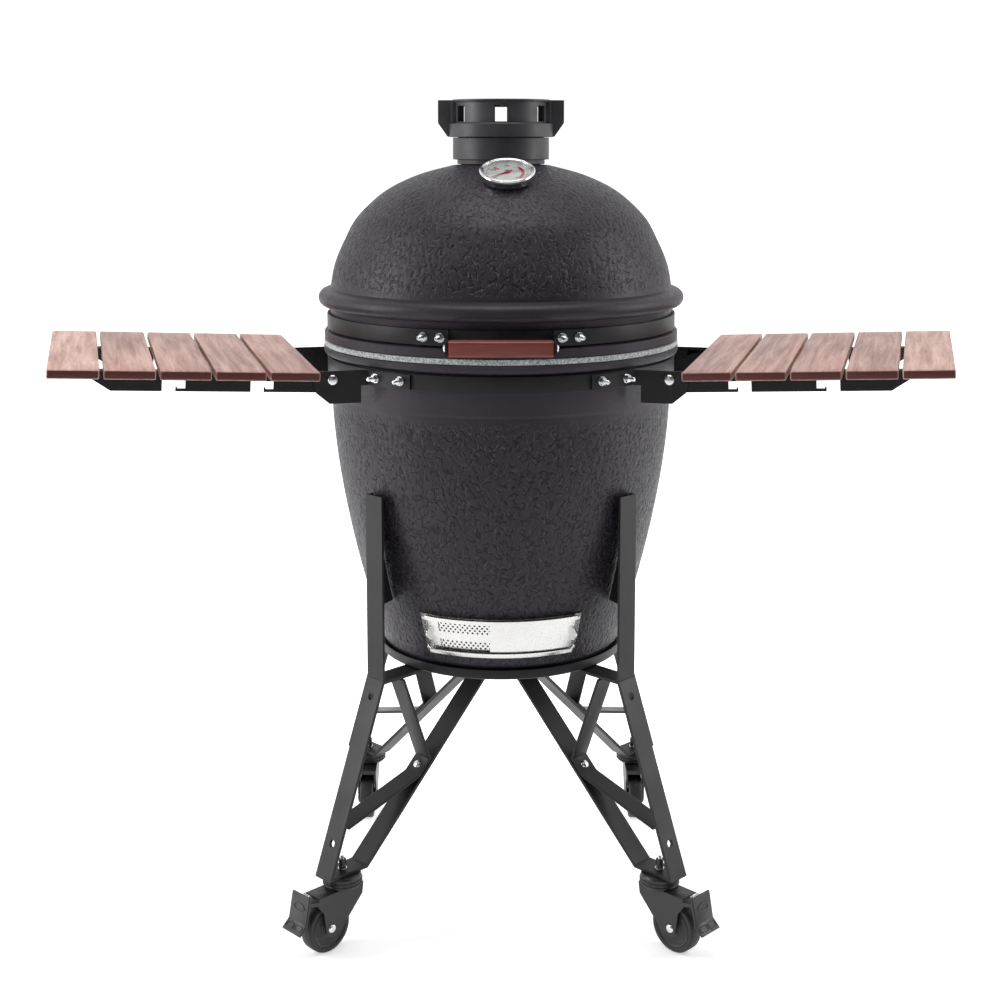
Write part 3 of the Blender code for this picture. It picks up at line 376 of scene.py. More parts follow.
wall_first = len(foot)
inner_first = wall_first + len(outer_wall) + len(rim)
outer_window = (wall_first + 15, wall_first + 34)
inner_window = (inner_first + 4, inner_first + 5)
window_columns = tuple(int((90 + side * DRAFT_HALF_ANGLE) / 180 * HALF_COLUMNS) for side in (-1, 1))

for half, first_angle in (("front", -90.0), ("back", 90.0)):
    bowl_points = swept(bowl, first_angle, first_angle + 180.0, HALF_COLUMNS)
    rows, columns = bowl_points.shape[:2]
    flat = bowl_points.reshape(-1, 3)
    outward = flat - np.array([0.0, AXIS_Y, 0.0])
    outward[:, 2] = 0.0
    outward /= np.maximum(np.linalg.norm(outward, axis=1, keepdims=True), 1e-9)
    on_wall = np.zeros((rows, columns))
    on_wall[wall_first:wall_first + len(outer_wall)] = 1.0
    share = on_wall.ravel() * fade_between(flat[:, 2], 0.398, 0.408)
    share *= 1 - fade_between(flat[:, 2], 0.755, 0.780)
    pressed_points, dent_depth = pressed(flat, outward, share)
    spans = [window_columns] if half == "front" else []
    faces = windowed_faces(rows, columns, False, outer_window, inner_window, spans)
    faces += side_caps(rows, columns)
    piece = finished(f"ceramic_base_{half}", pressed_points, faces, GLAZE, "base",
                     attributes={"dent": dent_depth, "dented": share})
    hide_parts("base_shell")


# -------------------------------------------------- fire box and its grates
# A loose ring of buff fireclay stands inside the bowl on its floor. A cast iron grate lies on
# its ledge for the charcoal, and a round stainless grid lies on its top for the food.

def clay_material():
    """Unglazed fireclay: sandy, pitted and darker grey towards the bottom, in clouds."""
    material, tree, shader = surface("fireclay")
    place = put(tree, "TexCoord").outputs["Object"]
    sand = noise(tree, place, 420.0, 4.0)
    darkening_cloud = noise(tree, place, 9.0, 4.0)
    level = put(tree, "SeparateXYZ", {"Vector": place})
    height = remap(tree, level.outputs["Z"], 0.42, 0.80, 0.75, 0.10)
    # darker grey towards the bottom, in clouds
    low_darkening = reckon(tree, "MULTIPLY", darkening_cloud, height)
    colour = tint_between(tree, low_darkening, (0.52, 0.42, 0.31, 1.0), (0.06, 0.055, 0.05, 1.0))
    bump = bumped(tree, sand, 0.5, 0.0008)
    feed(tree, shader, {"Base Color": colour, "Normal": bump, "Roughness": 0.92})
    return material


def casting_material(name, colour, roughness):
    """Sand cast iron with a baked coat: fine orange peel, paler where it has been rubbed."""
    material, tree, shader = surface(name)
    place = put(tree, "TexCoord").outputs["Object"]
    peel = noise(tree, place, 480.0, 3.0)
    cloud = noise(tree, place, 26.0, 4.0)
    mixed = remap(tree, cloud, 0.35, 0.70, 0.0, 1.0)
    pale = tuple(min(channel * 1.5 + 0.004, 1.0) for channel in colour)
    tint = tint_between(tree, mixed, (*colour, 1.0), (*pale, 1.0))
    dull = remap(tree, cloud, 0.3, 0.7, roughness + 0.06, roughness - 0.06)
    bump = bumped(tree, peel, 0.28, 0.0004)
    feed(tree, shader, {"Base Color": tint, "Roughness": dull, "Normal": bump, "Metallic": 0.15})
    return material


def brushed_material(name, colour, roughness, stretch):
    """Brushed stainless steel: fine scratches along one direction and a faint cloudiness."""
    material, tree, shader = surface(name)
    place = put(tree, "TexCoord").outputs["Object"]
    along = scaled(tree, place, stretch)
    brush = noise(tree, along, 1.0, 4.0)
    cloud = noise(tree, place, 30.0, 2.0)
    grey = tint_between(tree, cloud, (*colour, 1.0), tuple(0.86 * channel for channel in colour) + (1.0,))
    rough = remap(tree, brush, 0.3, 0.7, roughness - 0.07, roughness + 0.10)
    bump = bumped(tree, brush, 0.10, 0.0001)
    feed(tree, shader, {"Base Color": grey, "Roughness": rough, "Normal": bump, "Metallic": 1.0})
    return material


frame_objects = frame["nodes"]


def paint(node, material):
    """Gives a CAD node its finished material."""
    slots = frame_objects[node].material_slots
    for slot in slots:
        slot.material = material


paint("fire_box", clay_material())
paint("charcoal_grate", casting_material("grate_iron", (0.030, 0.028, 0.027), 0.62))
STAINLESS = brushed_material("brushed_stainless", (0.74, 0.74, 0.73), 0.24, (60.0, 900.0, 900.0))
paint("cooking_grid", STAINLESS)


# -------------------------------------------------------------- rim gasket
# A flat felt rope, light grey and mottled, glued to the top of the base's rim. The lid's rim
# presses it into a slightly bulging shape.

gasket_low, gasket_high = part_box("rim_gasket")


def rounded(outline, radius, steps=4):
    """Softens each corner of a closed outline.

    Each corner P becomes the curve (1-t)^2 A + 2t(1-t) P + t^2 B, where A and B lie `radius`
    before and after it, or nearer where a side is short.
    """
    corner = np.asarray(outline, float)
    before, after = np.roll(corner, 1, axis=0) - corner, np.roll(corner, -1, axis=0) - corner
    before_length = np.linalg.norm(before, axis=1, keepdims=True)
    after_length = np.linalg.norm(after, axis=1, keepdims=True)
    start = corner + before / before_length * np.minimum(radius, 0.45 * before_length)
    end = corner + after / after_length * np.minimum(radius, 0.45 * after_length)
    t = np.linspace(0.0, 1.0, steps + 1)[None, :, None]
    curve = (1 - t) ** 2 * start[:, None] + 2 * t * (1 - t) * corner[:, None] + t ** 2 * end[:, None]
    return curve.reshape(-1, 2)


def hoop(name, profile, material, body):
    """A full ring about the ceramic's axis with the given closed outline."""
    columns = 256
    points = swept(profile, 0.0, 360.0 * (columns - 1) / columns, columns - 1)
    faces = grid_faces(points.shape[0], columns, True, True).reshape(-1, 4).tolist()
    return finished(name, points, faces, material, body)


def felt_material():
    """Pressed glass felt: pale grey wool flecked with darker and whiter fibres."""
    material, tree, shader = surface("grey_felt")
    place = put(tree, "TexCoord").outputs["Object"]
    fibre = noise(tree, place, 330.0, 6.0, Roughness=0.7)
    ramp = put(tree, "ValToRGB", {"Fac": fibre})
    ramp.color_ramp.elements[0].position = 0.38
    ramp.color_ramp.elements[0].color = (0.115, 0.125, 0.125, 1.0)
    ramp.color_ramp.elements[1].position = 0.64
    ramp.color_ramp.elements[1].color = (0.62, 0.65, 0.65, 1.0)
    bump = bumped(tree, fibre, 0.8, 0.0008)
    feed(tree, shader, {"Base Color": ramp.outputs["Color"], "Normal": bump, "Roughness": 0.95,
                        "Sheen Weight": 0.25})
    return material


gasket_outline = rounded([
    (0.2462, gasket_low.z), (gasket_high.x - 0.0006, gasket_low.z),
    (gasket_high.x, (gasket_low.z + gasket_high.z) / 2),
    (gasket_high.x - 0.0006, gasket_high.z), (0.2462, gasket_high.z),
], 0.0022)
gasket = hoop("felt_gasket", gasket_outline, felt_material(), "base")
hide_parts("rim_gasket")


# -------------------------------------------------------------- lower band
# A flat strip of mild steel, powder coated satin black and rolled to a hoop, that is drawn
# tight round the base's collar by the bolts of the shelf brackets and of the hinge.

def coated_material(name, colour, roughness):
    """Satin black powder coat: a fine orange peel, dust in soft patches and a slightly worn sheen."""
    material, tree, shader = surface(name)
    place = put(tree, "TexCoord").outputs["Object"]
    peel = noise(tree, place, 900.0, 2.0)
    cloud = noise(tree, place, 18.0, 3.0)
    pale = tuple(channel * 1.6 + 0.003 for channel in colour)
    tint = tint_between(tree, cloud, (*colour, 1.0), (*pale, 1.0))
    dull = remap(tree, cloud, 0.3, 0.7, roughness - 0.05, roughness + 0.07)
    bump = bumped(tree, peel, 0.16, 0.0002)
    feed(tree, shader, {"Base Color": tint, "Roughness": dull, "Normal": bump, "Specular IOR Level": 0.25})
    return material


BLACK_COAT = coated_material("satin_powder_coat", (0.0085, 0.0085, 0.0095), 0.42)
BAND_INNER = COLLAR_RADIUS + 0.0003


def band_outline(node):
    """A band's cross-section with softly broken edges."""
    low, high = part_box(node)
    return rounded([(BAND_INNER, low.z), (high.x, low.z), (high.x, high.z), (BAND_INNER, high.z)], 0.0011, 3)


lower_band = hoop("lower_band_steel", band_outline("lower_band"), BLACK_COAT, "base")
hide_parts("lower_band")


# ---------------------------------------------- shelf brackets and their bolts
# Laser cut plates of the same steel, bent through a right angle: one leg is bolted to the
# band, the other stands out as a gusset and carries the shelf arm on a pivot bolt. Bright
# zinc nuts on long studs hold each plate.

def softened(node, width, material, body):
    """A copy of a CAD node with its flats merged and its edges rounded, in place of the node."""
    source = frame_objects[node]
    mesh = source.data.copy()
    edit = bmesh.new()
    edit.from_mesh(mesh)
    bmesh.ops.remove_doubles(edit, verts=edit.verts, dist=1e-5)
    bmesh.ops.dissolve_limit(edit, angle_limit=math.radians(1.0), verts=edit.verts, edges=edit.edges)
    edit.to_mesh(mesh)
    edit.free()
    mesh.materials.clear()
    mesh.materials.append(material)
    mesh.shade_smooth()
    mesh.set_sharp_from_angle(angle=math.radians(30))
    thing = bpy.data.objects.new(node + "_finished", mesh)
    bpy.context.collection.objects.link(thing)
    edge = thing.modifiers.new("rounded_edges", "BEVEL")
    edge.width = width
    edge.segments = 2
    edge.limit_method = "ANGLE"
    edge.angle_limit = math.radians(35)
    edge.harden_normals = False
    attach(thing, body)
    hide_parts(node)
    return thing


def zinc_material():
    """Bright zinc plate with a slight bluish cast and a few dull patches."""
    material, tree, shader = surface("bright_zinc")
    place = put(tree, "TexCoord").outputs["Object"]
    cloud = noise(tree, place, 240.0, 3.0)
    tint = tint_between(tree, cloud, (0.80, 0.81, 0.83, 1.0), (0.60, 0.61, 0.63, 1.0))
    dull = remap(tree, cloud, 0.3, 0.7, 0.14, 0.34)
    feed(tree, shader, {"Base Color": tint, "Roughness": dull, "Metallic": 1.0})
    return material


ZINC = zinc_material()


def turned(profile, sides, place, direction):
    """Spins an open (radius, height) outline round a line: (points, faces), closed at both poles.

    A point is place + r (cos a · U + sin a · V) + h · W, with W the direction.
    """
    profile = np.asarray(profile, float)
    third = np.asarray(Vector(direction).normalized(), float)
    helper = np.array([0.0, 0.0, 1.0]) if abs(third[2]) < 0.9 else np.array([1.0, 0.0, 0.0])
    first = np.cross(helper, third)
    first /= np.linalg.norm(first)
    second = np.cross(third, first)
    angle = np.linspace(0, 2 * np.pi, sides, endpoint=False)
    circle = np.cos(angle)[:, None] * first + np.sin(angle)[:, None] * second
    points = np.asarray(place, float) + profile[:, 0, None, None] * circle + profile[:, 1, None, None] * third
    return points.reshape(-1, 3), grid_faces(len(profile), sides, False, True).reshape(-1, 4)


def heap(name, shapes, material, body, sharp=32.0):
    """Several closed shapes as one object."""
    points, faces, count = [], [], 0
    for shape_points, shape_faces in shapes:
        points.append(np.asarray(shape_points))
        faces += [[int(corner) + count for corner in face] for face in shape_faces]
        count += len(shape_points)
    return finished(name, np.concatenate(points), faces, material, body, sharp)


def nut_and_stud(place, direction, stud=0.0100):
    """A washer, a hexagon nut with broken corners and the rounded end of a threaded stud."""
    place, direction = np.asarray(place, float), np.asarray(Vector(direction).normalized(), float)
    washer = [(0.0, 0.0), (0.0068, 0.0), (0.0070, 0.0004), (0.0068, 0.0012), (0.0, 0.0012)]
    nut = [(0.0, 0.0012), (0.0052, 0.0012), (0.0058, 0.0018),
           (0.0058, 0.0054), (0.0050, 0.0062), (0.0, 0.0062)]
    pitch = 0.0010
    turns = np.arange(0.0062, 0.0062 + stud, pitch / 2)
    thread = np.stack([np.where(np.arange(len(turns)) % 2, 0.0026, 0.0031), turns], axis=1)
    tip = turns[-1]
    stud_outline = np.concatenate([[(0.0, 0.0060)], thread, [(0.0020, tip + 0.0008), (0.0, tip + 0.0010)]])
    return [turned(washer, 20, place, direction), turned(nut, 6, place, direction),
            turned(stud_outline, 12, place, direction)]


def dome_head(place, direction, radius=0.0062, height=0.0034):
    """A low domed head: r = R cos t, h = H sin t."""
    t = np.linspace(0, np.pi / 2, 6)
    cap = np.stack([radius * np.cos(t), height * np.sin(t)], axis=1)
    return [turned(np.concatenate([[(0.0, 0.0)], cap]), 18, place, direction)]


def on_band(angle, radius, height):
    """A place on a band at an angle from the front, and the direction straight out of it."""
    turn = math.radians(angle)
    out = Vector((math.sin(turn), -math.cos(turn), 0.0))
    return Vector((0.0, AXIS_Y, height)) + out * radius, out


joint_places = {joint["name"]: Vector(joint["pos_m"]) for joint in frame["joints"]}
joint_axes = {joint["name"]: Vector(joint["axis"]).normalized() for joint in frame["joints"]}


def hinge_line(word):
    """The axis a shelf folds about, as a direction towards the back."""
    axis = joint_axes[f"shelf_{word}_fold"]
    return axis if axis.y > 0 else -axis


PLATE_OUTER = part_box("lower_band")[1].x + 0.0033
BOLT_HEIGHT = 0.8303
PIVOT_HEAD_REACH = 0.1357
band_bolts = []
for word, side in (("left", -1), ("right", 1)):
    pivot = joint_places[f"shelf_{word}_fold"]
    pivot_angle = math.degrees(math.atan2(abs(pivot.x), AXIS_Y - pivot.y))
    for offset in (-33.8, -43.4, 33.8, 43.4):
        band_bolts += nut_and_stud(*on_band(side * (pivot_angle + offset), PLATE_OUTER, BOLT_HEIGHT))
    along = hinge_line(word)
    for way in (-1, 1):
        band_bolts += dome_head(pivot + along * way * PIVOT_HEAD_REACH, along * way, 0.0078, 0.0036)
    for place in ("front", "rear"):
        softened(f"bracket_{word}_{place}", 0.0006, BLACK_COAT, "base")
heap("band_bolts", band_bolts, ZINC, "base")


# ------------------------------------------------------------ side shelves
# Each shelf is five oiled hardwood boards, planed with softly rounded edges, screwed from
# below onto two black steel arms that are cut with hooks for tools and fold on their pivots.

def wood_material(name, dark, light, end_tone, sheen):
    """Oiled tropical hardwood: long fine grain, open pores, slow colour drift and darker ends.

    It reads the board's own "grain" attribute: across, along and through the board in metres.
    """
    material, tree, shader = surface(name)
    grain = put(tree, "Attribute", attribute_name="grain").outputs["Vector"]
    stretched = scaled(tree, grain, (95.0, 5.0, 95.0))
    figure = noise(tree, stretched, 1.0, 5.0, Roughness=0.62, Distortion=0.5)
    finer = scaled(tree, grain, (620.0, 22.0, 620.0))
    pore = noise(tree, finer, 1.0, 3.0)
    slow = scaled(tree, grain, (9.0, 2.2, 9.0))
    drift = noise(tree, slow, 1.0, 2.0)
    share = remap(tree, figure, 0.30, 0.70, 0.0, 1.0)
    base = tint_between(tree, share, (*dark, 1.0), (*light, 1.0))
    drifted = put(tree, "HueSaturation", {"Color": base})
    value = remap(tree, drift, 0.3, 0.7, 0.80, 1.20)
    tree.links.new(value, drifted.inputs["Value"])
    pores = remap(tree, pore, 0.60, 0.70, 0.0, 0.55)
    pored = tint_between(tree, pores, drifted.outputs["Color"],
                         (dark[0] * 0.35, dark[1] * 0.35, dark[2] * 0.35, 1.0))
    ends = put(tree, "Attribute", attribute_name="end").outputs["Fac"]
    ended = tint_between(tree, ends, pored, (*end_tone, 1.0))
    dull = remap(tree, figure, 0.3, 0.7, sheen + 0.10, sheen - 0.06)
    height = reckon(tree, "SUBTRACT", figure, pores)
    bump = bumped(tree, height, 0.35, 0.0004)
    feed(tree, shader, {"Base Color": ended, "Roughness": dull, "Normal": bump})
    return material


def plank(name, low, high, place, turn, material, body, shift, soft=0.0022):
    """A board with rounded long edges and ends, and its grain coordinates.

    A rounded cross-section is carried along the board's second axis; over the last few
    millimetres it shrinks by soft * (1 - cos t) so that the end's edges are rounded too.
    """
    low, high = np.asarray(low, float), np.asarray(high, float)
    section = rounded([(low[0], low[2]), (high[0], low[2]), (high[0], high[2]), (low[0], high[2])], soft, 4)
    middle = np.array([(low[0] + high[0]) / 2, (low[2] + high[2]) / 2])
    t = np.linspace(0, np.pi / 2, 5)
    ease = soft * (1 - np.sin(t))
    lead = soft * (1 - np.cos(t))
    stations = np.concatenate([low[1] + lead, np.linspace(low[1] + soft, high[1] - soft, 12)[1:-1],
                               (high[1] - lead)[::-1]])
    shrink = np.concatenate([ease, np.zeros(10), ease[::-1]])
    size = np.array([high[0] - low[0], high[2] - low[2]])
    factor = 1 - 2 * shrink[:, None] / size
    across = middle[0] + (section[:, 0] - middle[0]) * factor[:, 0:1]
    through = middle[1] + (section[:, 1] - middle[1]) * factor[:, 1:2]
    local = np.stack([across, stations[:, None] + 0 * across, through], axis=-1)
    rows, columns = local.shape[:2]
    flat = local.reshape(-1, 3)
    world_points = flat @ np.asarray(turn, float).T + np.asarray(place, float)
    faces = grid_faces(rows, columns, False, True).reshape(-1, 4).tolist()
    faces += end_caps(rows, columns)
    at_end = np.clip(1 - np.minimum(flat[:, 1] - low[1], high[1] - flat[:, 1]) / 0.0006, 0, 1)
    return finished(name, world_points, faces, material, body, 50.0,
                    attributes={"grain": flat + np.array(shift), "end": at_end})


BOARD_END = (0.075, 0.012, 0.010)
BOARD_WOOD = wood_material("oiled_hardwood", (0.225, 0.096, 0.074), (0.48, 0.262, 0.212), BOARD_END, 0.40)
OUTER_WOOD = wood_material("paler_hardwood", (0.300, 0.145, 0.108), (0.60, 0.370, 0.300), BOARD_END, 0.40)
SHELF_TILT = math.radians(2.87)
ARM_REACH, ARM_TOP = 0.1205, 0.0063
screws = {"left": [], "right": []}
for word, side in (("left", -1), ("right", 1)):
    pivot = joint_places[f"shelf_{word}_fold"]
    along = hinge_line(word)
    level_out = Vector((along.y, -along.x, 0.0)) * side
    out = level_out * math.cos(SHELF_TILT) + Vector((0, 0, 1)) * math.sin(SHELF_TILT)
    up = Vector((0, 0, 1)) * math.cos(SHELF_TILT) - level_out * math.sin(SHELF_TILT)
    turn = np.array([out, along, up]).T
    body = f"shelf_{word}"
    for number in range(1, 6):
        node = f"board_{word}_{number}"
        corners = np.array([vertex.co for vertex in frame_objects[node].data.vertices])
        local = (corners - np.array(pivot)) @ turn
        low, high = local.min(axis=0), local.max(axis=0)
        wood = OUTER_WOOD if number == 1 else BOARD_WOOD
        piece = plank(f"plank_{word}_{number}", low, high, pivot, turn, wood, body,
                      (0.37 * number + 3 * side, 0.61 * number, 0.0))
        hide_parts(node)
        for way in (-1, 1):
            for share in (0.25, 0.75):
                across = low[0] + share * (high[0] - low[0])
                spot = pivot + Vector(turn @ np.array([across, way * ARM_REACH, ARM_TOP]))
                screws[word] += dome_head(spot, -up, 0.0038, 0.0022)
    for place in ("front", "rear"):
        softened(f"arm_{word}_{place}", 0.0005, BLACK_COAT, body)
    heap(f"shelf_screws_{word}", screws[word], ZINC, body)


# ------------------------------------------------------------------- hinge
# A heavy folded bracket bolted to the lower band at the back, and a strap on the lid's band
# that turns on its pin. Two coil springs round the pin take part of the lid's weight.

HINGE = joint_places["lid_hinge"]


def coil(middle, axis, radius, wire, turns, pitch):
    """A helical spring: (R cos a, R sin a, pitch a / 2 pi) with a round wire carried along it."""
    a = np.linspace(0, 2 * np.pi * turns, int(turns * 20) + 1)
    sides = 8
    b = np.linspace(0, 2 * np.pi, sides, endpoint=False)
    reach = radius + wire * np.cos(b)[None, :]
    height = (pitch * (a / (2 * np.pi) - turns / 2))[:, None] + wire * np.sin(b)[None, :]
    local = np.stack([reach * np.cos(a)[:, None], reach * np.sin(a)[:, None], height], axis=-1)
    third = np.asarray(Vector(axis).normalized(), float)
    first = np.cross(np.array([0.0, 0.0, 1.0]), third)
    second = np.cross(third, first)
    points = np.asarray(middle, float) + local.reshape(-1, 3) @ np.stack([first, second, third])
    rows = len(a)
    faces = grid_faces(rows, sides, False, True).reshape(-1, 4).tolist()
    faces += end_caps(rows, sides)
    return points, faces


softened("hinge_base_bracket", 0.0006, BLACK_COAT, "base")
softened("hinge_lid_strap", 0.0006, BLACK_COAT, "lid")
spring_shapes = [coil(HINGE + Vector((side * 0.0175, 0, 0)), (1, 0, 0), 0.0082, 0.0014, 9.5, 0.0033)
                 for side in (-1, 1)]
heap("hinge_springs", spring_shapes, ZINC, "base", 60.0)
hinge_bolts = []
for angle in (171.5, 188.5):
    hinge_bolts += nut_and_stud(*on_band(angle, PLATE_OUTER, BOLT_HEIGHT), 0.006)
heap("hinge_bolts", hinge_bolts, ZINC, "base")


# --------------------------------------------------------------------- lid
# The dome is cast and glazed like the base, with the same dents from its flange up to the
# vent. Below a thick rolled flange it has a smooth collar for its steel band and a flat rim.

DOME_POINTS = np.array([
    (0.2615, 0.9445), (0.2550, 0.9785), (0.2400, 1.0145), (0.2190, 1.0515),
    (0.1785, 1.0885), (0.1285, 1.1135), (0.0750, 1.1285),
])
NECK_RADIUS, CHIMNEY_RADIUS = 0.0600, 0.0500
dome_low, dome_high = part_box("lid_dome")
LID_RIM, NECK_TOP, FLANGE_RADIUS = dome_low.z, dome_high.z, dome_high.x


def curve_through(points, steps):
    """A Catmull-Rom curve through the points, with `steps` stretches between each two."""
    padded = np.concatenate([points[:1], points, points[-1:]])
    before, start, end, after = padded[:-3], padded[1:-2], padded[2:-1], padded[3:]
    t = np.linspace(0, 1, steps, endpoint=False)[None, :, None]
    before, start, end, after = (side[:, None] for side in (before, start, end, after))
    curve = 0.5 * (2 * start + (end - before) * t + (2 * before - 5 * start + 4 * end - after) * t ** 2
                   + (3 * start - before - 3 * end + after) * t ** 3)
    return np.concatenate([curve.reshape(-1, 2), points[-1:]])


dome_curve = curve_through(DOME_POINTS, 24)
lid_lip = LIP_RADIUS - 0.001
below = [(0.2455, LID_RIM), (lid_lip - 0.0015, LID_RIM), (lid_lip, LID_RIM + 0.0015), (lid_lip, 0.8785),
         (lid_lip - 0.0012, 0.8800), (0.2640, 0.8815), (COLLAR_RADIUS, 0.8825), (COLLAR_RADIUS, 0.9065)]
flange_turn = np.radians(np.linspace(-90, 68, 12))
FLANGE_ROUND, FLANGE_HEIGHT = 0.0125, 0.9295
flange = np.stack([FLANGE_RADIUS - FLANGE_ROUND + FLANGE_ROUND * np.cos(flange_turn),
                   FLANGE_HEIGHT + FLANGE_ROUND * np.sin(flange_turn)], axis=1)
below += [(COLLAR_RADIUS + 0.0012, 0.9155)] + flange.tolist() + [(0.2660, 0.9432), (0.2632, 0.9437)]
above = [(0.0700, 1.1292), (0.0640, 1.1293), (NECK_RADIUS, 1.1300), (NECK_RADIUS, NECK_TOP),
         (CHIMNEY_RADIUS, NECK_TOP), (CHIMNEY_RADIUS, 1.1120)]
inside = dome_curve[::-1] - 0.020
inside = inside[(inside[:, 0] > 0.054)][::8]
lid_outline = np.concatenate([below, dome_curve, above, inside, [(0.2400, 0.9300), (0.2440, 0.8720)]])
dome_first = len(below)

for half, first_angle in (("front", -90.0), ("back", 90.0)):
    lid_points = swept(lid_outline, first_angle, first_angle + 180.0, HALF_COLUMNS)
    rows, columns = lid_points.shape[:2]
    slope = np.gradient(lid_outline, axis=0)
    slope /= np.maximum(np.linalg.norm(slope, axis=1, keepdims=True), 1e-9)
    turn = np.radians(np.linspace(first_angle, first_angle + 180.0, columns))
    outward = np.stack([slope[:, 1:2] * np.sin(turn), -slope[:, 1:2] * np.cos(turn),
                        -slope[:, 0:1] + 0 * turn], axis=-1).reshape(-1, 3)
    flat = lid_points.reshape(-1, 3)
    on_dome = np.zeros((rows, columns))
    on_dome[dome_first:dome_first + len(dome_curve)] = 1.0
    from_axis = np.hypot(flat[:, 0], flat[:, 1] - AXIS_Y)
    share = on_dome.ravel() * fade_between(flat[:, 2], 0.945, 0.962) * fade_between(from_axis, 0.074, 0.086)
    pressed_points, dent_depth = pressed(flat, outward, share)
    faces = grid_faces(rows, columns, True, False).reshape(-1, 4).tolist()
    faces += side_caps(rows, columns)
    piece = finished(f"ceramic_lid_{half}", pressed_points, faces, GLAZE, "lid",
                     attributes={"dent": dent_depth, "dented": share})
    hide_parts("lid_dome")


# ----------------------------------------------------- upper band and handle
# The lid's own steel band, and in front of it a hardwood grip that is held between the two
# bent end plates of a steel frame. Nuts on studs fasten the frame; two dome bolts the grip.

upper_band = hoop("upper_band_steel", band_outline("upper_band"), BLACK_COAT, "lid")
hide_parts("upper_band")
softened("handle_frame", 0.0006, BLACK_COAT, "lid")

grip_low, grip_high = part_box("handle_grip")
GRIP_END = (0.080, 0.012, 0.008)
GRIP_WOOD = wood_material("handle_hardwood", (0.140, 0.024, 0.016), (0.230, 0.050, 0.036), GRIP_END, 0.36)
grip_turn = np.array([(0.0, 1.0, 0.0), (1.0, 0.0, 0.0), (0.0, 0.0, 1.0)])
grip = plank("wooden_grip", (grip_low.y, grip_low.x, grip_low.z), (grip_high.y, grip_high.x, grip_high.z),
             (0, 0, 0), grip_turn, GRIP_WOOD, "lid", (0.2, 0.1, 0.0), 0.0042)
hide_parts("handle_grip")

LID_BOLT_HEIGHT = 0.8950
handle_bolts = []
for angle in (-23.6, -18.2, 18.2, 23.6):
    handle_bolts += nut_and_stud(*on_band(angle, PLATE_OUTER, LID_BOLT_HEIGHT))
grip_middle = (grip_low + grip_high) / 2
for side in (-1, 1):
    handle_bolts += dome_head(grip_middle + Vector((side * (grip_high.x + 0.0033), 0.003, 0)), (side, 0, 0),
                              0.0056, 0.0032)
for angle in (173.0, 187.0):
    handle_bolts += nut_and_stud(*on_band(angle, PLATE_OUTER, LID_BOLT_HEIGHT), 0.005)
heap("handle_bolts", handle_bolts, ZINC, "lid")


# ---------------------------------------------------------------- top vent
# Two cast pieces with a grey-black coat: a collar clamped on the dome's neck with a ported
# sleeve, and a cap with six matching ports and two ears, which turns on it to set the draught.

VENT_IRON = casting_material("vent_casting", (0.022, 0.022, 0.025), 0.48)
cap_low, cap_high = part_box("vent_cap")
collar_low, collar_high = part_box("vent_collar")
PORT_LOW, PORT_HIGH = 1.1942, 1.2180
VENT_COLUMNS = 288
PORT_HALF_COLUMNS = 7
DRUM_RADIUS, CAP_RADIUS, SLEEVE_RADIUS = 0.0700, 0.0795, 0.0650
port_spans = [(step - PORT_HALF_COLUMNS, step + PORT_HALF_COLUMNS) for step in range(0, VENT_COLUMNS, 48)]


def ported_shell(name, below_port, above_port, wall, body, cad_node):
    """A turned shell with six ports: its outline runs up the outside, over the top and down the inside."""
    outline = below_port + [(wall[0], PORT_LOW), (wall[0], PORT_HIGH)] + above_port
    outline += [(wall[1], PORT_HIGH), (wall[1], PORT_LOW)] + [(wall[1], below_port[0][1])]
    outer = (len(below_port), len(below_port) + 1)
    inner = (outer[1] + len(above_port) + 1, outer[1] + len(above_port) + 2)
    points = swept(outline, 0.0, 360.0 * (VENT_COLUMNS - 1) / VENT_COLUMNS, VENT_COLUMNS - 1)
    faces = windowed_faces(len(outline), VENT_COLUMNS, True, outer, inner, port_spans)
    piece = finished(name, points, faces, VENT_IRON, body)
    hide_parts(cad_node)


collar_below = [
    (NECK_RADIUS + 0.0005, collar_low.z + 0.0006), (0.0662, collar_low.z),
    (0.0667, collar_low.z + 0.0006), (0.0667, 1.1370), (0.0728, 1.1375), (0.0733, 1.1381),
    (0.0733, 1.1698), (0.0728, 1.1704), (0.0655, 1.1705), (SLEEVE_RADIUS, 1.1712),
]
ported_shell("vent_collar_casting", collar_below, [(SLEEVE_RADIUS, collar_high.z), (0.0610, collar_high.z)],
             (SLEEVE_RADIUS, 0.0610), "lid", "vent_collar")
cap_below = [
    (SLEEVE_RADIUS + 0.0006, cap_low.z), (CAP_RADIUS - 0.0008, cap_low.z),
    (CAP_RADIUS, cap_low.z + 0.0008), (CAP_RADIUS, 1.1908), (CAP_RADIUS - 0.0010, 1.1918),
    (DRUM_RADIUS + 0.0012, 1.1921), (DRUM_RADIUS, 1.1932),
]
cap_above = [
    (DRUM_RADIUS, 1.2232), (DRUM_RADIUS + 0.0006, 1.2240), (0.0742, 1.2243), (0.0748, 1.2250),
    (0.0748, 1.2267), (0.0740, cap_high.z), (0.0600, cap_high.z), (0.0588, cap_high.z - 0.0006),
    (0.0, cap_high.z - 0.0006), (0.0, cap_high.z - 0.0040),
    (SLEEVE_RADIUS + 0.0006, cap_high.z - 0.0040),
]
ported_shell("vent_cap_casting", cap_below, cap_above, (DRUM_RADIUS, SLEEVE_RADIUS + 0.0006), "vent_cap_body",
             "vent_cap")


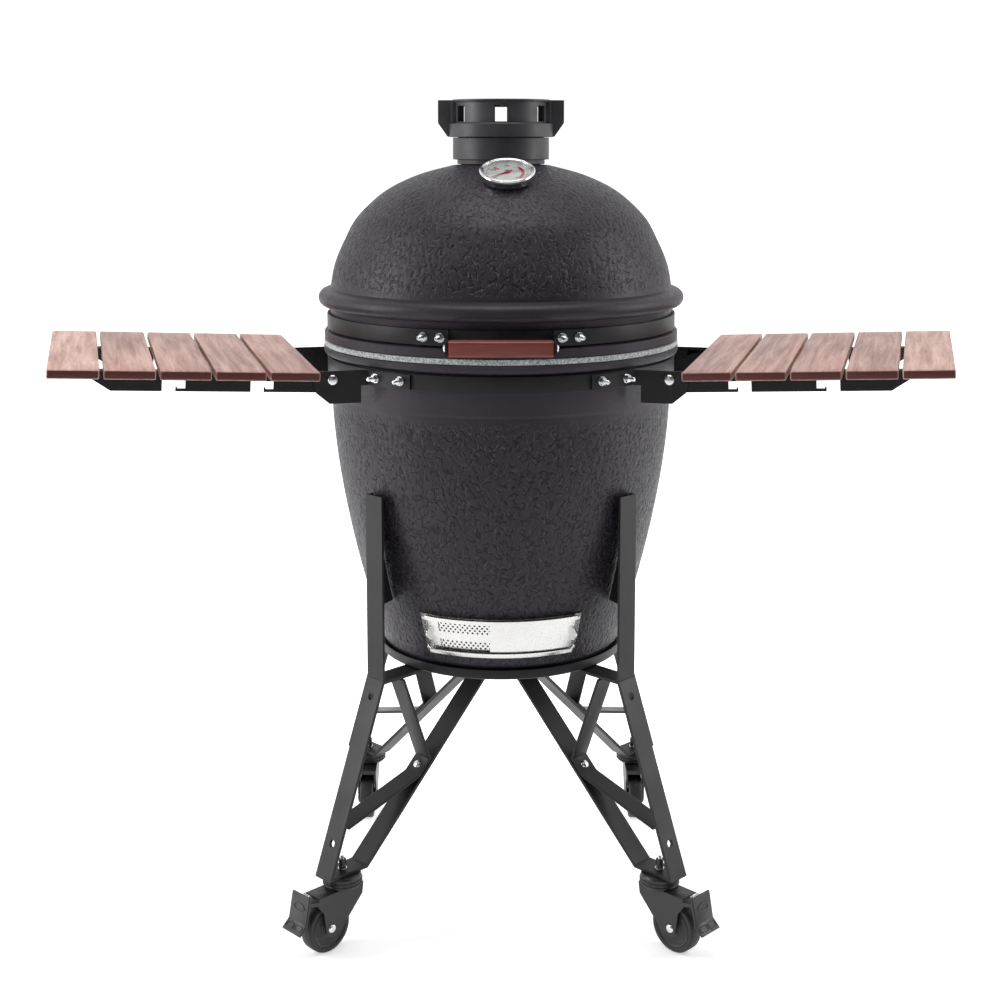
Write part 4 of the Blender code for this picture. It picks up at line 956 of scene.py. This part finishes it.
def slab(outline, low, high, matrix):
    """A flat closed outline in X and Z given thickness along Y, with its edges rounded, then placed.

    The outline is drawn at six depths; at the two faces it is pulled in by soft * (1 - sin t).
    """
    soft = 0.0008
    section = rounded(outline, soft * 2.0, 3)
    middle = section.mean(axis=0)
    t = np.linspace(0, np.pi / 2, 4)
    depth = np.concatenate([low + soft * (1 - np.cos(t)), (high - soft * (1 - np.cos(t)))[::-1]])
    inset = np.concatenate([soft * (1 - np.sin(t)), (soft * (1 - np.sin(t)))[::-1]])
    span = np.abs(section - middle).max(axis=0)
    factor = 1 - inset[:, None, None] / span
    shape = middle + (section - middle)[None] * factor
    local = np.stack([shape[..., 0], depth[:, None] + 0 * shape[..., 0], shape[..., 1]], axis=-1)
    rows, columns = local.shape[:2]
    matrix = np.asarray(matrix, float)
    points = local.reshape(-1, 3) @ matrix[:3, :3].T + matrix[:3, 3]
    faces = grid_faces(rows, columns, False, True).reshape(-1, 4).tolist()
    faces += end_caps(rows, columns)
    return points, faces


ears = []
for turn in (0.0, math.pi):
    at_axis = Matrix.Translation((0, AXIS_Y, 0)) @ Matrix.Rotation(turn, 4, "Z")
    ear = [(0.0690, cap_low.z + 0.0006), (0.0812, cap_low.z + 0.0006), (cap_high.x - 0.0002, 1.1925),
           (cap_high.x - 0.0002, cap_high.z - 0.0006), (0.0690, cap_high.z - 0.0006)]
    ears.append(slab(ear, -0.0088, 0.0088, at_axis))
    web = [(0.0665, cap_low.z + 0.0008), (0.0730, cap_low.z + 0.0008), (0.0760, 1.1930),
           (0.0760, cap_high.z - 0.0008), (0.0665, cap_high.z - 0.0008)]
    ears.append(slab(web, -0.0150, 0.0150, at_axis))
heap("vent_cap_ears", ears, VENT_IRON, "vent_cap_body")


# ------------------------------------------------------------- thermometer
# A dial thermometer pushed through the dome: a spun and polished steel case with a double
# rim, a white enamel dial printed with a scale and red hot zone, a red needle and a glass.

dial_out = -joint_axes["needle_turn"]
bezel_middle = joint_places["needle_turn"] + dial_out * 0.005
dial_across = Vector((1.0, 0.0, 0.0))
dial_up = dial_out.cross(dial_across)
POLISHED = brushed_material("polished_steel", (0.84, 0.84, 0.84), 0.15, (300.0, 300.0, 300.0))

case_outline = [
    (0.0, -0.0748), (0.0028, -0.0745), (0.0035, -0.0735), (0.0035, -0.0200), (0.0100, -0.0190),
    (0.0100, -0.0162), (0.0335, -0.0160), (0.0352, -0.0155), (0.0360, -0.0140), (0.0362, -0.0082),
    (0.0370, -0.0074), (0.0370, -0.0062), (0.0362, -0.0056), (0.0372, -0.0050), (0.0396, -0.0046),
    (0.0403, -0.0038), (0.0405, -0.0024), (0.0401, -0.0010), (0.0392, -0.0002), (0.0382, 0.0),
    (0.0374, -0.0004), (0.0370, -0.0010), (0.0364, -0.0008), (0.0357, -0.0009), (0.0351, -0.0016),
    (0.0347, -0.0030), (0.0345, -0.0064), (0.0, -0.0064),
]
case = heap("thermometer_shell", [turned(case_outline, 96, bezel_middle, dial_out)], POLISHED, "lid",
            50.0)
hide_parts("thermometer_case")


def enamel_material(name, colour, roughness):
    """Printed enamel: an even colour, slightly mottled, with a thin clear lacquer."""
    material, tree, shader = surface(name)
    place = put(tree, "TexCoord").outputs["Object"]
    mottle = noise(tree, place, 500.0, 2.0)
    tint = tint_between(tree, mottle, (*colour, 1.0), tuple(0.88 * channel for channel in colour) + (1.0,))
    feed(tree, shader, {"Base Color": tint, "Roughness": roughness, "Coat Weight": 0.3})
    return material


DIAL_WHITE = enamel_material("dial_white", (0.82, 0.82, 0.80), 0.4)
DIAL_BLACK = enamel_material("dial_black", (0.02, 0.02, 0.02), 0.45)
DIAL_RED = enamel_material("dial_red", (0.72, 0.02, 0.05), 0.4)
heap("dial_plate", [turned([(0.0, 0.0), (0.0340, 0.0), (0.0342, 0.0001), (0.0340, 0.0002), (0.0, 0.0002)], 64,
                           bezel_middle - dial_out * 0.0064, dial_out)], DIAL_WHITE, "lid")
DIAL_FACE = -0.0061
SCALE_START, SCALE_SWEEP = math.radians(225), math.radians(-270)


def dial_mark(share, inner, outer, half_width):
    """A raised bar on the dial at a share of its scale, from one radius to another."""
    angle = SCALE_START + SCALE_SWEEP * share
    out = dial_across * math.cos(angle) + dial_up * math.sin(angle)
    side = dial_out.cross(out)
    flat = ((inner, -half_width), (outer, -half_width), (outer, half_width), (inner, half_width))
    corner = [bezel_middle + out * r + side * s + dial_out * h
              for h in (DIAL_FACE - 0.0001, DIAL_FACE + 0.0001) for r, s in flat]
    faces = [[0, 1, 2, 3], [4, 5, 6, 7], [0, 1, 5, 4], [1, 2, 6, 5], [2, 3, 7, 6], [3, 0, 4, 7]]
    return np.array(corner), faces


def dial_arc(first, last, inner, outer, steps=24):
    """A flat curved bar on the dial between two shares of its scale."""
    angle = SCALE_START + SCALE_SWEEP * np.linspace(first, last, steps)
    out = np.cos(angle)[:, None] * np.array(dial_across) + np.sin(angle)[:, None] * np.array(dial_up)
    section = [(inner, DIAL_FACE - 0.0001), (outer, DIAL_FACE - 0.0001), (outer, DIAL_FACE + 0.00005),
               (inner, DIAL_FACE + 0.00005)]
    rows = [np.array(bezel_middle) + out * r + np.array(dial_out) * h for r, h in section]
    faces = grid_faces(4, steps, True, False).reshape(-1, 4).tolist()
    return np.concatenate(rows), faces + side_caps(4, steps)


ticks = [dial_mark(step / 40, 0.0285 if step % 5 else 0.0262, 0.0312, 0.00018 if step % 5 else 0.00034)
         for step in range(41)]
heap("dial_scale", ticks, DIAL_BLACK, "lid")
red_zone = [dial_arc(0.66, 0.98, 0.0205, 0.0250), dial_arc(0.30, 0.34, 0.0150, 0.0250, 6)]
heap("dial_red_zone", red_zone, DIAL_RED, "lid")

for index in range(5):
    letters = bpy.data.curves.new(f"dial_number_{index}", "FONT")
    letters.body = str(100 * index)
    letters.size = 0.0058
    letters.extrude = 0.00008
    letters.align_x = "CENTER"
    letters.align_y = "CENTER"
    flat_text = bpy.data.objects.new("dial_number_drawing", letters)
    bpy.context.collection.objects.link(flat_text)
    bpy.context.view_layer.update()
    drawn = flat_text.evaluated_get(bpy.context.evaluated_depsgraph_get())
    number_mesh = bpy.data.meshes.new_from_object(drawn)
    bpy.data.objects.remove(flat_text, do_unlink=True)
    angle = SCALE_START + SCALE_SWEEP * index / 4
    spot = bezel_middle + (dial_across * math.cos(angle) + dial_up * math.sin(angle)) * 0.0218
    spot += dial_out * DIAL_FACE
    turn = Matrix((dial_across, dial_up, dial_out)).transposed().to_4x4()
    number_mesh.transform(Matrix.Translation(spot) @ turn)
    number_mesh.materials.clear()
    number_mesh.materials.append(DIAL_BLACK)
    number = bpy.data.objects.new(f"dial_number_{index}", number_mesh)
    bpy.context.collection.objects.link(number)
    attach(number, "lid")


def glass_material():
    """Thin clear glass, a little smeared."""
    material, tree, shader = surface("dial_glass")
    place = put(tree, "TexCoord").outputs["Object"]
    smear = noise(tree, place, 90.0, 3.0)
    dull = remap(tree, smear, 0.4, 0.7, 0.01, 0.05)
    feed(tree, shader, {"Roughness": dull, "Base Color": (0.97, 0.98, 0.98, 1.0),
                        "Transmission Weight": 1.0, "IOR": 1.46})
    return material


lens_turn = np.linspace(0, 1, 8)
lens_top = np.stack([0.0350 * (1 - lens_turn), -0.0014 + 0.0010 * (1 - (1 - lens_turn) ** 2)], axis=1)
lens = [(0.0, -0.0026), (0.0348, -0.0026), (0.0350, -0.0024)] + lens_top.tolist()
heap("dial_glass_lens", [turned(lens, 64, bezel_middle, dial_out)], glass_material(), "lid")
paint("thermometer_needle", DIAL_RED)
hub = [(0.0, -0.0036), (0.0022, -0.0036), (0.0020, -0.0031), (0.0, -0.0030)]
heap("needle_hub", [turned(hub, 20, bezel_middle, dial_out)], POLISHED, "needle_body")


# -------------------------------------------------------------- draft door
# A folded stainless frame is screwed over the air opening. Two curved leaves slide in its
# rails, one behind the other: a punched screen on the left and a plain door on the right.

frame_low, frame_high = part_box("draft_frame")
DOOR_LOW, DOOR_HIGH = frame_low.z, frame_high.z
DOOR_HALF_ANGLE = 34.0


def along_wall(outline):
    """Turns (distance from the wall, height) into (radius, height) beside the sloping base."""
    outline = np.asarray(outline, float)
    return np.stack([wall_radius(outline[:, 1]) + outline[:, 0], outline[:, 1]], axis=1)


def leaf_plate(name, inset, thickness, heights, window, angles, spans, steps, body, node):
    """A curved sheet with optional windows: outer face up, inner face down, ends closed."""
    outer = [(inset + thickness, z) for z in heights]
    inner = [(inset, z) for z in reversed(heights)]
    outline = along_wall(outer + inner)
    points = swept(outline, angles[0], angles[1], steps)
    rows, columns = points.shape[:2]
    count = len(heights)
    inner_rows = (2 * count - 1 - window[1], 2 * count - 1 - window[0])
    faces = windowed_faces(rows, columns, False, window, inner_rows, spans)
    faces += side_caps(rows, columns)
    piece = finished(name, points, faces, STAINLESS, body)
    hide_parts(node)
    return piece


frame_heights = [DOOR_LOW, DRAFT_LOW, DRAFT_HIGH, DOOR_HIGH]
leaf_plate("draft_frame_plate", 0.0006, 0.0014, frame_heights, (1, 2), (-DOOR_HALF_ANGLE, DOOR_HALF_ANGLE),
           [(32, 240)], 272, "base", "draft_frame")

rails = []
for low, tip in ((DOOR_LOW + 0.0005, 0.0065), (DOOR_HIGH - 0.0005, -0.0065)):
    sheet = math.copysign(0.0012, tip)
    rail = along_wall([(0.0020, low), (0.0096, low), (0.0100, low + sheet * 0.4), (0.0100, low + tip),
                       (0.0089, low + tip), (0.0087, low + sheet), (0.0020, low + sheet)])
    rails.append(sector(rail, -31.0, 31.0, 124))
rivets = []
for angle in (-32.6, 32.6):
    for height in (DOOR_LOW + 0.0065, DOOR_HIGH - 0.0065):
        rivets += dome_head(*on_band(angle, wall_radius(height) + 0.0018, height), 0.0037, 0.0024)
heap("draft_frame_rails", rails + rivets, STAINLESS, "base")


TAB_HEIGHT = 0.448


def pull_tab(angle, inset):
    """A half-round tab that stands straight out of a leaf: r = R + d cos t, z = h + d sin t."""
    t = np.linspace(-np.pi / 2, np.pi / 2, 14)
    reach = 0.0128
    tab = along_wall(np.stack([inset + reach * np.cos(t), TAB_HEIGHT + 0.0100 * np.sin(t)], axis=1))
    return sector(tab, angle - 0.25, angle + 0.25, 2)


LEAF_LOW, LEAF_HIGH = DOOR_LOW + 0.0032, DOOR_HIGH - 0.0032
SCREEN_INSET, DOOR_INSET, SHEET = 0.0030, 0.0056, 0.0012
leaf_plate("plain_door", DOOR_INSET, SHEET, [LEAF_LOW, 0.445, LEAF_HIGH], (0, 0), (-4.5, 30.5), [], 70,
           "draft_door_body", "draft_door")
heap("door_tab", [pull_tab(30.2, DOOR_INSET)], STAINLESS, "draft_door_body")

HOLE_PITCH = 2.0
HOLE_ROWS = 4
HOLE_RADIUS = 0.0016
SCREEN_RADIUS = 0.2045
PUNCHED_LOW, PUNCHED_HIGH = 0.4255, 0.4705
BAND_HEIGHT = 0.0165
PUNCHED_FIRST, PUNCHED_LAST = -26.0, -4.0
leaf_plate("screen_edge", SCREEN_INSET, SHEET, [LEAF_LOW, PUNCHED_LOW, PUNCHED_HIGH, LEAF_HIGH], (1, 2),
           (-30.5, -1.0), [(9, 53)], 59, "draft_screen_body", "draft_screen")


def punched_sheet(low):
    """Four staggered rows of round holes: each cell is a square ring of faces about an octagon."""
    pitch_z = BAND_HEIGHT / HOLE_ROWS
    count = int(round((PUNCHED_LAST - PUNCHED_FIRST) / HOLE_PITCH))
    row, column = np.meshgrid(np.arange(HOLE_ROWS), np.arange(count), indexing="ij")
    middle_angle = PUNCHED_FIRST + HOLE_PITCH * (column + 0.5 + 0.25 * np.where(row % 2, 1, -1))
    middle_height = low + pitch_z * (row + 0.5)
    corner = np.array([(-1, -1), (0, -1), (1, -1), (1, 0), (1, 1), (0, 1), (-1, 1), (-1, 0)], float) / 2
    turn = np.arctan2(corner[:, 1], corner[:, 0])
    hole_angle = math.degrees(HOLE_RADIUS / SCREEN_RADIUS)
    outer_angle = middle_angle[..., None] + corner[:, 0] * HOLE_PITCH
    outer_height = middle_height[..., None] + corner[:, 1] * pitch_z
    inner_angle = middle_angle[..., None] + hole_angle * np.cos(turn)
    inner_height = middle_height[..., None] + HOLE_RADIUS * np.sin(turn)
    angle = np.concatenate([outer_angle, inner_angle], axis=-1)
    height = np.concatenate([outer_height, inner_height], axis=-1)
    layers = []
    for inset in (SCREEN_INSET + SHEET - 0.0001, SCREEN_INSET + 0.0001):
        radius = wall_radius(height) + inset
        turn_out = np.radians(angle)
        back = AXIS_Y - radius * np.cos(turn_out)
        layers.append(np.stack([radius * np.sin(turn_out), back, height], axis=-1))
    points = np.stack(layers, axis=-2).reshape(-1, 3)
    k = np.arange(8)
    after = (k + 1) % 8
    ring = np.concatenate([
        np.stack([2 * k, 2 * after, 2 * (after + 8), 2 * (k + 8)], axis=1),
        np.stack([2 * k, 2 * after, 2 * (after + 8), 2 * (k + 8)], axis=1) + 1,
        np.stack([2 * (k + 8), 2 * (after + 8), 2 * (after + 8) + 1, 2 * (k + 8) + 1], axis=1),
    ])
    starts = np.arange(HOLE_ROWS * count) * 32
    return points, (ring[None] + starts[:, None, None]).reshape(-1, 4).tolist()


plain_low, plain_high = PUNCHED_LOW + BAND_HEIGHT, PUNCHED_HIGH - BAND_HEIGHT
plain = along_wall([(SCREEN_INSET + 0.0001, plain_low), (SCREEN_INSET + SHEET - 0.0001, plain_low),
                    (SCREEN_INSET + SHEET - 0.0001, plain_high), (SCREEN_INSET + 0.0001, plain_high)])
punched = [punched_sheet(PUNCHED_LOW), punched_sheet(plain_high),
           sector(plain, PUNCHED_FIRST, PUNCHED_LAST, 44)]
heap("screen_punched", punched, STAINLESS, "draft_screen_body")
heap("screen_tab", [pull_tab(-30.2, SCREEN_INSET)], STAINLESS, "draft_screen_body")


# ------------------------------------------------------------------- stand
# Flat steel strip, bent, welded and powder coated black: a shallow ring under the bowl, four
# posts with fins that steady it, four folded legs, and in each leg a bent brace on a bolt.

ring_low, ring_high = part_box("base_ring")
ring_outline = rounded([
    (0.1200, ring_low.z), (0.1885, ring_low.z), (ring_high.x, ring_low.z + 0.002), (ring_high.x, ring_high.z),
    (0.1882, ring_high.z), (0.1880, 0.3860), (0.1200, 0.3860),
], 0.0009, 3)
pan = hoop("stand_ring", ring_outline, BLACK_COAT, "base")
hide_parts("base_ring")

stem_bolts = []
CORNERS = (("front_left", -1, -1), ("front_right", 1, -1), ("rear_left", -1, 1), ("rear_right", 1, 1))
for word, across, back in CORNERS:
    for kind in ("post", "leg", "brace"):
        softened(f"{kind}_{word}", 0.0007, BLACK_COAT, "base")
    out = Vector((across, back, 0)).normalized()
    centre = Vector((0, AXIS_Y, 0))
    knee = (out * 0.683 + Vector((0, 0, 0.730))).normalized()
    crossing = centre + out * 0.1778 + Vector((0, 0, 0.2258))
    stem_bolts += dome_head(crossing + knee * 0.0020, knee, 0.0068, 0.0042)
    stem = joint_places[f"swivel_{word}"]
    stem_bolts += nut_and_stud((stem.x, stem.y, 0.1126), (0, 0, 1), 0.0130)
heap("stand_bolts", stem_bolts, ZINC, "base")


# ----------------------------------------------------------------- casters
# Four nylon swivel casters: a cup with the swivel race, a fork with deep cheeks and a solid
# wheel with a rubber tread. The two at the front have a foot pedal that clamps the wheel.

def nylon_material():
    """Moulded black nylon: fine texture and faint flow marks that also change its gloss."""
    material, tree, shader = surface("black_nylon")
    place = put(tree, "TexCoord").outputs["Object"]
    texture = noise(tree, place, 1100.0, 2.0)
    flow = noise(tree, place, 40.0, 3.0, Distortion=1.0)
    tint = tint_between(tree, flow, (0.0075, 0.0075, 0.0085, 1.0), (0.0150, 0.0150, 0.0165, 1.0))
    dull = remap(tree, flow, 0.3, 0.7, 0.34, 0.50)
    bump = bumped(tree, texture, 0.15, 0.0002)
    feed(tree, shader, {"Base Color": tint, "Roughness": dull, "Normal": bump})
    return material


def rubber_material():
    """Hard black rubber: matt, dusty in patches, with fine scuffs."""
    material, tree, shader = surface("tread_rubber")
    place = put(tree, "TexCoord").outputs["Object"]
    dust = noise(tree, place, 90.0, 5.0)
    scuff = noise(tree, place, 700.0, 3.0)
    share = remap(tree, dust, 0.55, 0.80, 0.0, 0.5)
    tint = tint_between(tree, share, (0.013, 0.013, 0.014, 1.0), (0.060, 0.058, 0.055, 1.0))
    bump = bumped(tree, scuff, 0.3, 0.0002)
    feed(tree, shader, {"Base Color": tint, "Normal": bump, "Roughness": 0.62})
    return material


def oval_ridge(middle, across, down, out, half_across, half_down, wire, power=1.0):
    """A raised closed ridge on a plane: (A c, B s) with c = sign(cos) |cos|^p and s likewise.

    A power of 1 is an ellipse and a smaller one a rounded rectangle; a round wire follows it.
    """
    a = np.linspace(0, 2 * np.pi, 48, endpoint=False)
    b = np.linspace(0, 2 * np.pi, 8, endpoint=False)
    c = np.sign(np.cos(a)) * np.abs(np.cos(a)) ** power
    s = np.sign(np.sin(a)) * np.abs(np.sin(a)) ** power
    frame_axes = np.array([across, down, out], float)
    path = np.stack([half_across * c, half_down * s, 0 * a], axis=1)
    away = np.stack([np.cos(a), np.sin(a), 0 * a], axis=1)
    local = path[:, None] + wire * (np.cos(b)[None, :, None] * away[:, None]
                                    + np.sin(b)[None, :, None] * np.array([0.0, 0.0, 1.0]))
    points = np.asarray(middle, float) + local.reshape(-1, 3) @ frame_axes
    return points, grid_faces(48, 8, True, True).reshape(-1, 4)


NYLON = nylon_material()
RUBBER = rubber_material()
WHEEL_HALF = 0.0110
TREAD_ROUND = 0.0042
for word, across, back in CORNERS:
    axle = joint_places[f"roll_{word}"]
    axis = joint_axes[f"roll_{word}"]
    swivel = joint_places[f"swivel_{word}"]
    body = f"wheel_{word}_body"
    radius = axle.z
    tread_turn = np.radians(np.linspace(-90, 90, 9))
    tread = np.stack([
        radius - TREAD_ROUND + TREAD_ROUND * np.cos(tread_turn),
        (WHEEL_HALF - TREAD_ROUND) * np.sign(tread_turn) + TREAD_ROUND * np.sin(tread_turn),
    ], axis=1)
    tyre_outline = np.concatenate([[(0.0, -0.0098), (0.0290, -0.0098), (0.0296, -WHEEL_HALF + 0.0004),
                                    (0.0312, -WHEEL_HALF)], tread, [(0.0312, WHEEL_HALF),
                                   (0.0296, WHEEL_HALF - 0.0004), (0.0290, 0.0098), (0.0, 0.0098)]])
    tyre = heap(f"tread_{word}", [turned(tyre_outline, 72, axle, axis)], RUBBER, body)
    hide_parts(f"wheel_{word}")
    dish_r = np.linspace(0.0282, 0.0125, 7)
    dish = np.stack([dish_r, 0.0106 - 0.0022 * np.sin(np.linspace(0, np.pi, 7))], axis=1).tolist()
    dish = [(0.0, 0.0094), (0.0285, 0.0094), (0.0286, 0.0104)] + dish + [(0.0122, 0.0120), (0.0110, 0.0126),
                                                                       (0.0060, 0.0127), (0.0, 0.0122)]
    heap(f"wheel_discs_{word}", [turned(dish, 56, axle, axis), turned(dish, 56, axle, -axis)], NYLON, body)
    softened(f"caster_fork_{word}", 0.0008, NYLON, f"fork_{word}")
    axle_caps = []
    for way in (-1, 1):
        axle_caps += dome_head(axle + axis * way * 0.0162, axis * way, 0.0062, 0.0024)
    heap(f"axle_caps_{word}", axle_caps, ZINC, f"fork_{word}")
    race = []
    for level in (0.0925, 0.0975):
        ring = [(0.0, level), (0.0284, level), (0.0291, level + 0.0007), (0.0291, level + 0.0015),
                (0.0284, level + 0.0022), (0.0, level + 0.0022)]
        race.append(turned(ring, 48, (swivel.x, swivel.y, 0.0), (0, 0, 1)))
    heap(f"swivel_race_{word}", race, NYLON, f"fork_{word}")
    if back < 0:
        softened(f"brake_pedal_{word}", 0.0010, NYLON, f"pedal_{word}")
        out = Vector((axle.x - swivel.x, axle.y - swivel.y, 0.0)).normalized()
        foot = Vector((swivel.x, swivel.y, 0.0))
        down = (out * 0.0075 - Vector((0, 0, 0.0380))).normalized()
        outwards = (out * 0.0380 + Vector((0, 0, 0.0075))).normalized()
        face = foot + out * 0.0795 + Vector((0, 0, 0.0815))
        ridges = [oval_ridge(face, axis, down, outwards, 0.0112, 0.0052, 0.0009)]
        lip_down = (out * 0.0125 - Vector((0, 0, 0.0110))).normalized()
        lip_out = (out * 0.0110 + Vector((0, 0, 0.0125))).normalized()
        lip = foot + out * 0.0897 + Vector((0, 0, 0.0558))
        for way in (-1, 1):
            window = lip + axis * way * 0.0093
            ridges.append(oval_ridge(window, axis, lip_down, lip_out, 0.0072, 0.0042, 0.0007, 0.25))
        heap(f"pedal_ridges_{word}", ridges, NYLON, f"pedal_{word}", 60.0)
        spring_at = foot + out * 0.0655 + Vector((0, 0, 0.0922))
        heap(f"brake_spring_{word}", [coil(spring_at, axis, 0.0026, 0.0006, 8, 0.0018)], ZINC, f"fork_{word}",
             60.0)
